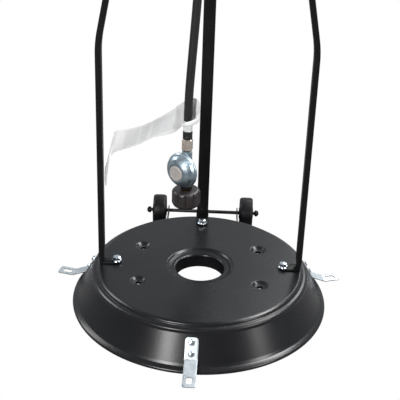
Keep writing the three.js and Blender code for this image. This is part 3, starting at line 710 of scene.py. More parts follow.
def end_tree(tree: Any, geometry: NodeSocket, finish: NodeSocket) -> None:
    """Ends a geometry tree with Realize Instances and Set Material.

    Args:
        tree: The tree.
        geometry: What the tree has made.
        finish: The material's socket.
    """
    real = add_node(tree, "GeometryNodeRealizeInstances", links={"Geometry": geometry})
    painted = add_node(tree, "GeometryNodeSetMaterial", links={
        "Geometry": real.outputs["Geometry"], "Material": finish})
    add_node(tree, "NodeGroupOutput", links={0: painted.outputs["Geometry"]})


def run_tree(made: Object, tree: Any, inputs: Sequence[TreeInput]) -> None:
    """Adds a tree to an object as a modifier and gives its inputs their values.

    Args:
        made: The object.
        tree: The geometry tree.
        inputs: The named inputs with their values.
    """
    modifier = made.modifiers.new(tree.name, "NODES")
    modifier.node_group = tree
    sockets = {item.name: item.identifier for item in tree.interface.items_tree
               if item.in_out == "INPUT"}
    for entry in inputs:
        modifier[sockets[entry.name]] = entry.value


@dataclass(frozen=True)
class HexFastener:
    """A flanged hex bolt or screw, in millimetres, and the tree that sets it on its seats.

    Attributes:
        across_flats: The hexagon's width.
        head: The hexagon's height over the flange.
        flange: The flange's radius.
        rise: The flange's height.
        shank: The shank's radius.
        length: The shank's length.
        recess: The width of the cross in the head, or 0 for none.
    """

    across_flats: float
    head: float
    flange: float
    rise: float
    shank: float
    length: float
    recess: float = 0.0

    def inputs(self, finish: Finish) -> list[TreeInput]:
        """Returns the tree's named inputs, in metres, with the finish's material."""
        sizes = {
            "Hex Radius": self.across_flats / math.sqrt(3), "Head Height": self.head,
            "Flange Radius": self.flange, "Flange Height": self.rise,
            "Shank Radius": self.shank, "Shank Length": self.length,
            "Recess Width": self.recess, "Recess Length": 0.62 * self.across_flats,
        }
        rows = [TreeInput(name, "NodeSocketFloat", size * MM) for name, size in sizes.items()]
        rows.append(TreeInput("Finish", "NodeSocketMaterial", finish.material()))
        return rows

    def tree(self, name: str, finish: Finish) -> Any:
        """Builds the tree that makes the fastener and sets one on each seat point.

        Args:
            name: The tree's name.
            finish: The finish of the fasteners.

        Returns:
            The tree.
        """
        tree, given = start_tree(name, self.inputs(finish))
        size = given.outputs

        def frustum(corners: int, low: Any, high: Any, depth: Any) -> Node:
            """Adds a prism or cone that stands on the origin."""
            return add_node(tree, "GeometryNodeMeshCone", {"Vertices": corners}, {
                "Radius Bottom": low, "Radius Top": high, "Depth": depth})

        def lifted(mesh: Any, height: Any) -> Any:
            """Adds a lift along Z."""
            where = add_node(tree, "ShaderNodeCombineXYZ", links={"Z": height})
            return add_node(tree, "GeometryNodeTransform", links={
                "Geometry": mesh, "Translation": where.outputs["Vector"]}).outputs["Geometry"]

        flange = frustum(40, size["Flange Radius"], maths(tree, "MULTIPLY", size["Flange Radius"], 0.84),
                         size["Flange Height"])
        body_height = maths(tree, "MULTIPLY", size["Head Height"], 0.86)
        body = frustum(6, size["Hex Radius"], size["Hex Radius"], body_height)
        crown = frustum(6, size["Hex Radius"], maths(tree, "MULTIPLY", size["Hex Radius"], 0.86),
                        maths(tree, "MULTIPLY", size["Head Height"], 0.14))
        crown_seat = maths(tree, "ADD", size["Flange Height"], body_height)
        shank = frustum(20, size["Shank Radius"], size["Shank Radius"], size["Shank Length"])
        down = maths(tree, "MULTIPLY", size["Shank Length"], -1.0)
        top = add_node(tree, "GeometryNodeJoinGeometry")
        for mesh in (lifted(body.outputs["Mesh"], size["Flange Height"]),
                     lifted(crown.outputs["Mesh"], crown_seat)):
            tree.links.new(mesh, top.inputs[0])
        head = add_node(tree, "GeometryNodeMergeByDistance", {"Distance": 1e-6}, {
            "Geometry": top.outputs[0]}).outputs["Geometry"]
        if self.recess:
            arms = add_node(tree, "GeometryNodeJoinGeometry")
            for first, second in (("Recess Length", "Recess Width"),
                                  ("Recess Width", "Recess Length")):
                box = add_node(tree, "ShaderNodeCombineXYZ", {"Z": 2.4 * MM}, {
                    "X": size[first], "Y": size[second]})
                arm = add_node(tree, "GeometryNodeMeshCube", links={"Size": box.outputs[0]})
                seat = maths(tree, "ADD", size["Flange Height"], size["Head Height"])
                tree.links.new(lifted(arm.outputs["Mesh"], seat), arms.inputs[0])
            cut = add_node(tree, "GeometryNodeMeshBoolean", links={
                "Mesh 1": head, "Mesh 2": arms.outputs[0]}, operation="DIFFERENCE")
            head = cut.outputs["Mesh"]
        whole = add_node(tree, "GeometryNodeJoinGeometry")
        for mesh in (head, flange.outputs["Mesh"], lifted(shank.outputs["Mesh"], down)):
            tree.links.new(mesh, whole.inputs[0])
        axis = add_node(tree, "GeometryNodeInputNamedAttribute", {"Name": "seat_axis"},
                        data_type="FLOAT_VECTOR")
        twist = add_node(tree, "GeometryNodeInputNamedAttribute", {"Name": "seat_turn"},
                         data_type="FLOAT_VECTOR")
        turn = add_node(tree, "FunctionNodeEulerToRotation", links={
            "Euler": twist.outputs["Attribute"]})
        aim = add_node(tree, "FunctionNodeAlignRotationToVector", links={
            "Rotation": turn.outputs["Rotation"], "Vector": axis.outputs["Attribute"]}, axis="Z")
        rows = add_node(tree, "GeometryNodeInstanceOnPoints", links={
            "Points": size["Geometry"], "Instance": whole.outputs[0],
            "Rotation": aim.outputs["Rotation"]})
        end_tree(tree, rows.outputs["Instances"], size["Finish"])
        return tree


FOOT_BOLT = HexFastener(13.0, head=5.0, flange=9.0, rise=1.8, shank=4.0, length=16.0)
FOOT_NUT = HexFastener(13.0, head=5.1, flange=9.0, rise=1.4, shank=4.0, length=0.2)
LEG_BOLT = HexFastener(10.0, head=3.5, flange=6.5, rise=1.5, shank=3.0, length=16.0)
CLIP_SCREW = HexFastener(
    8.0, head=2.4, flange=5.6, rise=0.9, shank=2.5, length=9.0, recess=1.3)


@dataclass
class Seats:
    """Where a row of equal fasteners sits: points in millimetres, axes and turns.

    Attributes:
        points: The bearing face's middle, for each fastener.
        axes: The way that each head points.
        turns: How far each is turned about its own axis, in degrees.
    """

    points: list[Vector]
    axes: list[Vector]
    turns: list[float]

    def fasten(self, piece: Piece, fastener: HexFastener) -> Object:
        """Makes the row of fasteners as one plain mesh.

        Args:
            piece: The piece's name, finish, body and what it replaces.
            fastener: The fastener's sizes.

        Returns:
            The finished object.
        """
        mesh = bpy.data.meshes.new(piece.name)
        mesh.from_pydata([point * MM for point in self.points], [], [])
        axis = mesh.attributes.new("seat_axis", "FLOAT_VECTOR", "POINT")
        turn = mesh.attributes.new("seat_turn", "FLOAT_VECTOR", "POINT")
        for i, (way, degrees) in enumerate(zip(self.axes, self.turns)):
            axis.data[i].vector = way
            turn.data[i].vector = (0.0, 0.0, math.radians(degrees))
        made = new_object(piece.name, mesh)
        tree = fastener.tree(f"{piece.name}_tree", piece.finish)
        run_tree(made, tree, fastener.inputs(piece.finish))
        return piece.join_frame(made)


# ------------------------------------------------------------------ studio
@dataclass(frozen=True)
class SoftLight:
    """A soft box: where it stands round the heater, its size and its strength.

    Attributes:
        name: The light's name.
        azimuth: Degrees round the heater, 0 in front and 90 on the right.
        elevation: Degrees above the floor.
        width: Its width in metres.
        height: Its height in metres.
        power: Its power in watts.
        distance: How far it stands from its aim, in metres.
    """

    name: str
    azimuth: float
    elevation: float
    width: float
    height: float
    power: float
    distance: float = 2.6


@dataclass
class Studio:
    """The camera, the lights, the pale floor and the white surroundings.

    Attributes:
        lens: The lens in millimetres on a 36 mm sensor.
        azimuth: The camera's place round the heater, in degrees.
        elevation: The camera's height above the level, in degrees.
        roll: The camera's tilt about its own axis, in degrees.
        target: The point that it looks at, in millimetres.
        distance: How far it stands from that point, in millimetres.
        dim_front: The surroundings' strength in front of the heater, as surfaces see it.
        dim_back: The same behind the heater.
        lights: The soft boxes.
    """

    lens: float = 88.79
    azimuth: float = 0.58
    elevation: float = 27.84
    roll: float = 1.98
    target: tuple[float, float, float] = (-5.0, 101.1, 150.0)
    distance: float = 1834.9
    dim_front: float = 0.14
    dim_back: float = 0.62
    lights: tuple[SoftLight, ...] = (
        SoftLight("left_front_box", -26.0, 30.0, 0.42, 1.2, 62.0),
        SoftLight("right_box", 58.0, 27.0, 0.5, 1.1, 30.0),
        SoftLight("right_high_box", 106.0, 56.0, 0.8, 0.9, 55.0),
        SoftLight("rear_box", 152.0, 40.0, 1.1, 0.9, 24.0),
        SoftLight("left_box", -112.0, 34.0, 0.6, 1.2, 18.0),
    )

    def build(self) -> None:
        """Makes the camera first, then the lights, the floor and the world."""
        self.make_camera()
        for light in self.lights:
            self.make_light(light)
        self.make_floor()
        self.make_world()

    @staticmethod
    def direction(azimuth: float, elevation: float) -> Vector:
        """Returns the unit vector from the heater towards a place round it."""
        a, e = math.radians(azimuth), math.radians(elevation)
        return Vector((math.sin(a) * math.cos(e), -math.cos(a) * math.cos(e), math.sin(e)))

    def make_camera(self) -> None:
        """Makes the camera and sets it as the scene's."""
        data = bpy.data.cameras.new("camera")
        data.lens = self.lens
        data.sensor_width = 36.0
        data.clip_start, data.clip_end = 0.05, 50.0
        camera = new_object("camera", data)
        back = self.direction(self.azimuth, self.elevation)
        right = (-back).cross(Vector((0, 0, 1))).normalized()
        up = right.cross(-back)
        turn = math.radians(self.roll)
        across = right * math.cos(turn) + up * math.sin(turn)
        upward = up * math.cos(turn) - right * math.sin(turn)
        place = Matrix((across, upward, back)).transposed().to_4x4()
        place.translation = (Vector(self.target) + back * self.distance) * MM
        camera.matrix_world = place
        bpy.context.scene.camera = camera
        LOG.info("camera")

    def make_light(self, light: SoftLight) -> None:
        """Makes one soft box, aimed at the base.

        Args:
            light: Its place, size and power.
        """
        data = bpy.data.lights.new(light.name, "AREA")
        data.shape = "RECTANGLE"
        data.size, data.size_y, data.energy = light.width, light.height, light.power
        box = new_object(light.name, data)
        back = self.direction(light.azimuth, light.elevation)
        box.location = Vector((0, 0, 0.1)) + back * light.distance
        box.rotation_mode = "QUATERNION"
        box.rotation_quaternion = (-back).to_track_quat("-Z", "Y")

    @staticmethod
    def seen_white(tree: Any, other: Node, kind: str) -> Node:
        """Adds plain white for what the camera sees straight, and another shader for the rest.

        Args:
            tree: The floor's or the world's tree.
            other: The shader for every other ray.
            kind: The type of the white shader's node.

        Returns:
            The mixing node.
        """
        white = add_node(tree, kind, {"Color": (1.0, 1.0, 1.0, 1.0), "Strength": 1.0})
        path = add_node(tree, "ShaderNodeLightPath")
        return add_node(tree, "ShaderNodeMixShader", links={
            0: path.outputs["Is Camera Ray"], 1: other.outputs[0], 2: white.outputs[0]})

    def make_floor(self) -> None:
        """Makes the pale floor, which shows plain white to the camera and so shows no shadow."""
        material = bpy.data.materials.new("pale_floor")
        material.use_nodes = True
        tree = material.node_tree
        tree.nodes.clear()
        paint = add_node(tree, "ShaderNodeBsdfDiffuse", {"Color": (0.2, 0.2, 0.2, 1.0)})
        seen = self.seen_white(tree, paint, "ShaderNodeEmission")
        add_node(tree, "ShaderNodeOutputMaterial", links={"Surface": seen.outputs[0]})
        mesh = bpy.data.meshes.new("floor")
        reach = 6.0
        mesh.from_pydata([(-reach, -reach, 0), (reach, -reach, 0), (reach, reach, 0),
                          (-reach, reach, 0)], [], [(0, 1, 2, 3)])
        mesh.materials.append(material)
        floor = new_object("floor", mesh)
        floor.location.z = -0.0004

    def make_world(self) -> None:
        """Makes the surroundings: white to the eye, and to a surface a grey, darker in front."""
        world = bpy.data.worlds.new("studio")
        bpy.context.scene.world = world
        world.use_nodes = True
        tree = world.node_tree
        tree.nodes.clear()
        way = add_node(tree, "ShaderNodeTexCoord")
        axes = add_node(tree, "ShaderNodeSeparateXYZ", links={"Vector": way.outputs["Generated"]})
        power = add_node(tree, "ShaderNodeMapRange", {
            "From Min": -1.0, "From Max": 1.0, "To Min": self.dim_front, "To Max": self.dim_back,
        }, {"Value": axes.outputs["Y"]})
        dim = add_node(tree, "ShaderNodeBackground", {"Color": (0.9, 0.95, 1.0, 1.0)}, {
            "Strength": power.outputs["Result"]})
        seen = self.seen_white(tree, dim, "ShaderNodeBackground")
        add_node(tree, "ShaderNodeOutputWorld", links={"Surface": seen.outputs[0]})
        bpy.context.scene.view_settings.view_transform = "Standard"


# ------------------------------------------------------------------ hose and tag
def smooth_line(points: Sequence[Sequence[float]], steps: int) -> list[Vector]:
    """Runs a smooth line through points.

    Args:
        points: The points that the line passes.
        steps: Steps between two points.

    Returns:
        The line's points.
    """
    knots = [Vector(point) for point in points]
    ends = [2 * knots[0] - knots[1], *knots, 2 * knots[-1] - knots[-2]]
    line = []
    for a, b, c, d in zip(ends, ends[1:], ends[2:], ends[3:]):
        for step in range(steps):
            t = step / steps
            line.append(0.5 * (2 * b + (c - a) * t + (2 * a - 5 * b + 4 * c - d) * t * t
                               + (3 * b - a - 3 * c + d) * t ** 3))
    return [*line, knots[-1]]


@dataclass
class GasHose:
    """The rubber hose, which hangs down the post and out of its lower end."""

    diameter: float = 14.5
    route: tuple[tuple[float, float, float], ...] = (
        (0, 0, 1802), (0, 0, 1740), (0, 0, 1620), (0, 0, 1480), (0, 0, 1340), (0, 0, 1200),
        (0, 0, 1060), (-0.5, 0.5, 960), (-1.8, 1.6, 890), (-4.6, 3.8, 820), (-8.8, 7.6, 740),
        (-13.4, 12.2, 660), (-17.4, 15.8, 590), (-20.3, 17.8, 535), (-23.2, 18.9, 485),
        (-25.9, 19.4, 440), (-28, 19.5, 400), (-28.9, 19.5, 370), (-29.1, 19.5, 345),
    )

    def line(self) -> list[Vector]:
        """Returns the hose's centre line in metres."""
        return [point * MM for point in smooth_line(self.route, 4)]

    def length(self) -> float:
        """Returns the hose's length in metres."""
        line = self.line()
        return sum((b - a).length for a, b in zip(line, line[1:]))

    def build(self) -> Object:
        """Makes the hose as a round curve.

        Returns:
            The hose.
        """
        data = bpy.data.curves.new("rubber_hose", "CURVE")
        data.dimensions = "3D"
        data.bevel_depth = self.diameter / 2 * MM
        data.bevel_resolution = 8
        data.use_fill_caps = True
        line = self.line()
        spline = data.splines.new("POLY")
        spline.points.add(len(line) - 1)
        for knot, place in zip(spline.points, line):
            knot.co = (*place, 1.0)
        spline.use_smooth = True
        hose = new_object("rubber_hose", data)
        data.materials.append(HOSE_RUBBER.material())
        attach(hose, "root")
        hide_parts("gas_hose")
        LOG.info("rubber_hose: %.3f m", self.length())
        return hose

    def declare(self) -> None:
        round(self.length(), 3)


@dataclass
class HangTag:
    """The long film tag: looped round the hose, trailing to the left, its end hanging down.

    Attributes:
        stations: The middle of the strip and its half width as a vector, along its length.
        thick: The film's thickness.
        curl: How far the strip's long edges curl off its plane.
    """

    stations: tuple[tuple[tuple[float, float, float], tuple[float, float, float]], ...] = (
        ((-171.5, 33, 209), (0.4, 5, 0.5)), ((-170.5, 30, 226), (1.2, 10, 1.5)),
        ((-168, 25, 250), (2.2, 15, 4)), ((-164.5, 19, 274), (3, 17, 9)),
        ((-159.5, 14, 293), (3, 11, 17)), ((-153, 11, 303), (1.5, 1, 20)),
        ((-137, 11, 308), (3.5, -4, 21)), ((-110, 13, 317), (5, -5, 21)),
        ((-83, 16, 331), (5.5, -5, 21)), ((-61, 20, 339), (4, -2, 24)),
        ((-49, 25, 344), (2, 0, 24.5)), ((-38, 29, 352), (1, 0, 22.5)),
        ((-27, 31.5, 359), (1, 0, 21)), ((-16, 30, 361), (0.5, 0, 19)),
        ((-10, 24, 360), (0, 0.5, 14)), ((-10.5, 16, 352), (0, 1.5, 8.5)),
        ((-16, 10.4, 347), (1, 0, 5.6)), ((-25.5, 8.8, 343), (0.5, 0, 4.8)),
        ((-33.5, 9.2, 340), (0.5, 0, 4)), ((-38.6, 14, 338.5), (0, 0.6, 3.6)),
        ((-40, 20, 338), (0, 0.6, 3.4)),
    )
    thick: float = 0.35
    curl: float = 1.2

    def build(self) -> None:
        middle = smooth_line([centre for centre, _ in self.stations], 6)
        halves = smooth_line([half for _, half in self.stations], 6)
        across = 10
        rows, travel, places = [], 0.0, []
        for i, (centre, half) in enumerate(zip(middle, halves)):
            ahead = middle[min(i + 1, len(middle) - 1)] - middle[max(i - 1, 0)]
            out = ahead.cross(half).normalized()
            if i > 0:
                travel += (centre - middle[i - 1]).length
            row = []
            for k in range(across + 1):
                side = 2 * k / across - 1
                wave = self.curl * (side * side - 0.4) * math.sin(travel / 21)
                row.append(centre + half * side + out * wave)
                places.append((side * half.length, travel))
            rows.append(row)
        shape = loft(rows, capped=False, loop=False)
        mesh = bpy.data.meshes.new("film_tag")
        mesh.from_pydata([point * MM for point in shape.points], [], shape.faces)
        layer = mesh.uv_layers.new(name="strip")
        for loop in mesh.loops:
            layer.data[loop.index].uv = places[loop.vertex_index]
        tag = new_object("film_tag", mesh)
        skin = tag.modifiers.new("film", "SOLIDIFY")
        skin.thickness = self.thick * MM
        skin.offset = 0.0
        piece = Piece("film_tag", shape, FILM, "tag_film", ("hang_tag",), crease=60)
        piece.join_frame(tag)


# ------------------------------------------------------------------ base
@dataclass
class BasePan:
    """The pressed base: plate, centre hole with its collar, four dimples, skirt and rolled rim.

    Attributes:
        plate_height: The height of the plate's middle.
        sheet: The sheet's thickness.
        hole: The radius of the collar's middle.
        inner: The radius where the plate's flat part starts.
        outer: The radius where it ends.
        dimple: The dimples' place, right and rear of the middle.
        dimple_reach: The radius of a dimple's flat edge.
        count: Steps round the pan.
    """

    plate_height: float = 70.9
    sheet: float = 1.2
    hole: float = 43.9
    inner: float = 64.0
    outer: float = 176.5
    dimple: tuple[float, float] = (106.6, 60.0)
    dimple_reach: float = 17.5
    count: int = 240

    def rim(self) -> list[tuple[float, float]]:
        """Returns the sheet's middle line from the plate's edge to the rolled rim's end."""
        line = rounded([
            (self.outer, self.plate_height), (180.4, self.plate_height), (184.2, 68.6),
            (185.2, 64.9), (190.2, 64.4), (193.6, 62.0), (194.4, 57.0), (218.5, 14.0),
            (221.4, 9.9), (225.6, 8.0),
        ], 3.0, 6)
        roll = [(226.3 + 3.1 * math.cos(math.radians(angle)),
                 3.7 + 3.1 * math.sin(math.radians(angle))) for angle in range(70, -201, -15)]
        return [tuple(point) for point in line] + roll

    def collar(self) -> list[tuple[float, float]]:
        """Returns the sheet's middle line from the collar's lower edge to the plate."""
        top = self.plate_height
        line = rounded([
            (self.hole, top - 29.7), (self.hole, top - 5.0), (51.5, top - 4.7), (56.6, top - 3.2),
            (60.5, top), (self.inner, top),
        ], 4.0, 7)
        return [tuple(point) for point in line]

    def cup(self) -> Shape:
        """Returns one dimple's skin round its own axis."""
        line = rounded([
            (self.dimple_reach, 0), (14.6, 0), (9.0, -4.2), (5.1, -4.3), (5.1, -9.7),
        ], 2.4, 8)
        return lathe(line, 72)

    def plate(self) -> Shape:
        """Returns the flat part of the plate, with room for the dimples."""
        x, y = self.dimple
        cups = [(sx * x, sy * y) for sx in (-1, 1) for sy in (-1, 1)]
        loops = [(0.0, 0.0, self.outer, self.count), (0.0, 0.0, self.inner, self.count)]
        loops += [(cx, cy, self.dimple_reach, 72) for cx, cy in cups]
        points: list[Vector] = []
        edges: list[tuple[int, int]] = []
        for cx, cy, radius, count in loops:
            first = len(points)
            points += [Vector((cx + p.x, cy + p.y)) for p in circle(radius, 0.0, count)]
            edges += [(first + k, first + (k + 1) % count) for k in range(count)]
        found = delaunay_2d_cdt(points, edges, [], 0, 1e-6)
        kept = []
        for face in found[2]:
            centre = sum((found[0][i] for i in face), Vector((0, 0))) / len(face)
            clear = all((centre - Vector((cx, cy))).length > radius - 0.02
                        for cx, cy, radius, _ in loops[1:])
            if clear:
                kept.append(tuple(face))
        flat = [Vector((p.x, p.y, self.plate_height)) for p in found[0]]
        return Shape(flat, kept)

    def build(self) -> None:
        """Makes the pan as one sheet."""
        skin = self.plate() + lathe(self.rim(), self.count) + lathe(self.collar(), self.count)
        for sx in (-1, 1):
            for sy in (-1, 1):
                seat = shift(sx * self.dimple[0], sy * self.dimple[1], self.plate_height)
                skin = skin + self.cup().placed(seat)
        Piece("pressed_base", skin, POWDER_COAT, "powder_coat", ("base_pan",),
              wall=self.sheet, crease=50).make()


# ------------------------------------------------------------------ legs
@dataclass
class Legs:
    """Three bent rectangular tubes with flattened feet, and the bolts that hold them.

    Attributes:
        angles: Each leg's place round the base, in degrees, by its side.
        radius: The distance of a leg's straight part from the post's axis.
        width: The tube's width round the base.
        depth: The tube's depth towards the post.
        corner: The radius of the tube's corners.
        foot_top: The height of the foot plate's top.
        flare: The width and depth of the flattened end.
        flare_height: How far above the foot plate the tube is flattened.
        foot_half: Half the foot plate's width.
        foot_length: The foot plate's length.
        bolt_circle: The radius of the foot bolts' circle.
        straight_top: The height where the tube starts to lean.
        bends: The arcs from there up, each as (degrees, radius).
        first_run: The straight run between the first two arcs.
        last_run: The straight run against the post.
        post_reach: The distance of that run's middle from the post's axis.
    """

    angles: dict[str, float] = field(
        default_factory=lambda: {"right": 0.0, "rear": 90.0, "left": 180.0})
    radius: float = 177.0
    width: float = 22.0
    depth: float = 10.0
    corner: float = 2.2
    foot_top: float = 74.8
    flare: tuple[float, float] = (24.0, 6.0)
    flare_height: float = 17.0
    foot_half: float = 11.0
    foot_length: float = 37.0
    bolt_circle: float = 150.0
    straight_top: float = 466.0
    bends: tuple[tuple[float, float], ...] = ((11.0, 200.0), (19.0, 400.0), (-30.0, 150.0))
    first_run: float = 60.0
    last_run: float = 86.0
    post_reach: float = 33.8

    def line(self) -> list[tuple[float, float, float]]:
        """Returns the tube's middle line as (radius, height, lean) points from the foot up."""
        x, z, lean = self.radius, self.straight_top, 0.0
        points = [(x, self.foot_top, 0.0), (x, self.foot_top + 7, 0.0),
                  (x, self.foot_top + 13, 0.0), (x, self.foot_top + 18, 0.0), (x, z, 0.0)]

        def bend(
            x: float, z: float, lean: float, degrees: float, radius: float, steps: int = 10
        ) -> tuple[float, float, float]:
            """Adds an arc and returns where it ends.

            Args:
                x: The distance from the post's axis.
                z: The height.
                lean: The lean so far.
                degrees: How far the arc turns.
                radius: Its radius.
                steps: Its steps.

            Returns:
                The end's distance, height and lean.
            """
            for _ in range(steps):
                step = math.radians(degrees) / steps
                chord = 2 * radius * math.sin(abs(step) / 2)
                x -= chord * math.sin(lean + step / 2)
                z += chord * math.cos(lean + step / 2)
                lean += step
                points.append((x, z, lean))
            return x, z, lean

        def run(
            x: float, z: float, lean: float, length: float
        ) -> tuple[float, float, float]:
            """Adds a straight run and returns where it ends.

            Args:
                x: The distance from the post's axis.
                z: The height.
                lean: The lean.
                length: The run's length.

            Returns:
                The end's distance, height and lean.
            """
            x, z = x - length * math.sin(lean), z + length * math.cos(lean)
            points.append((x, z, lean))
            return x, z, lean

        first, second, last = self.bends
        x, z, lean = bend(x, z, lean, *first)
        x, z, lean = run(x, z, lean, self.first_run)
        x, z, lean = bend(x, z, lean, *second)
        # The slanting run ends where the last arc brings the tube against the post.
        last_arc = last[1] * (1 - math.cos(lean))
        x, z, lean = run(x, z, lean, (x - self.post_reach - last_arc) / math.sin(lean))
        x, z, lean = bend(x, z, lean, *last)
        run(x, z, lean, self.last_run)
        return points

    def section(self, width: float, depth: float) -> list[Vector]:
        """Returns the tube's rounded outline, with its width along Y and its depth along X.

        Args:
            width: The tube's width.
            depth: The tube's depth.

        Returns:
            The outline's points.
        """
        half_width, half_depth = width / 2, depth / 2
        return rounded([
            (-half_depth, -half_width), (half_depth, -half_width),
            (half_depth, half_width), (-half_depth, half_width),
        ], self.corner, 5, closed=True)

    def tube(self) -> Shape:
        """Returns one leg's tube over the place on the right."""
        rings = []
        for x, z, lean in self.line():
            share = max(0.0, min(1.0, 1 - (z - self.foot_top) / self.flare_height))
            share = share * share * (3 - 2 * share)
            width = self.width + (self.flare[0] - self.width) * share
            depth = self.depth + (self.flare[1] - self.depth) * share
            place = shift(x, 0, z) @ Matrix.Rotation(-lean, 4, "Y")
            rings.append([place @ Vector((p.x, p.y, 0)) for p in self.section(width, depth)])
        return loft(rings)

    def foot(self) -> Shape:
        """Returns one foot plate, whose round end points at the middle of the base."""
        half, outer = self.foot_half, self.radius + 3
        outline = [Vector((outer, -half)), Vector((outer, half))]
        middle = outer - self.foot_length + half
        outline += [Vector((middle - half * math.sin(math.radians(a)),
                            half * math.cos(math.radians(a)))) for a in range(0, 181, 9)]
        return prism(outline, self.foot_top - 3.0, self.foot_top)

    def build(self) -> None:
        """Makes the three legs with their feet, and the bolts, as Geometry Nodes rows."""
        tube, foot = self.tube(), self.foot()
        top = self.line()[-1][1]
        for side, angle in self.angles.items():
            Piece(f"leg_tube_{side}", tube.placed(spin(angle)), TUBE_COAT, "coated_tube",
                  (f"leg_{side}",), crease=50).make()
            Piece(f"leg_foot_{side}", foot.placed(spin(angle)), TUBE_COAT, "coated_tube",
                  bevel=0.7, crease=50).make()
        ways = [Vector((math.cos(math.radians(a)), math.sin(math.radians(a)), 0))
                for a in self.angles.values()]
        up = Vector((0, 0, 1))
        on_circle = [way * self.bolt_circle for way in ways]
        rows = (
            ("foot_bolt", FOOT_BOLT, [spot + up * 75.1 for spot in on_circle], [up] * 3,
             [12.0, 40.0, 22.0]),
            ("foot_nut", FOOT_NUT, [spot + up * 70.0 for spot in on_circle], [-up] * 3,
             [0.0, 10.0, 20.0]),
            ("leg_bolt", LEG_BOLT, [way * 39.1 + up * (top - 34) for way in ways], ways,
             [30.0] * 3),
        )
        for name, fastener, points, axes, turns in rows:
            nodes = tuple(f"{name}_{side}" for side in self.angles)
            Seats(points, axes, turns).fasten(
                Piece(f"{name}s", Shape(), BRIGHT_ZINC, "zinc", nodes), fastener)


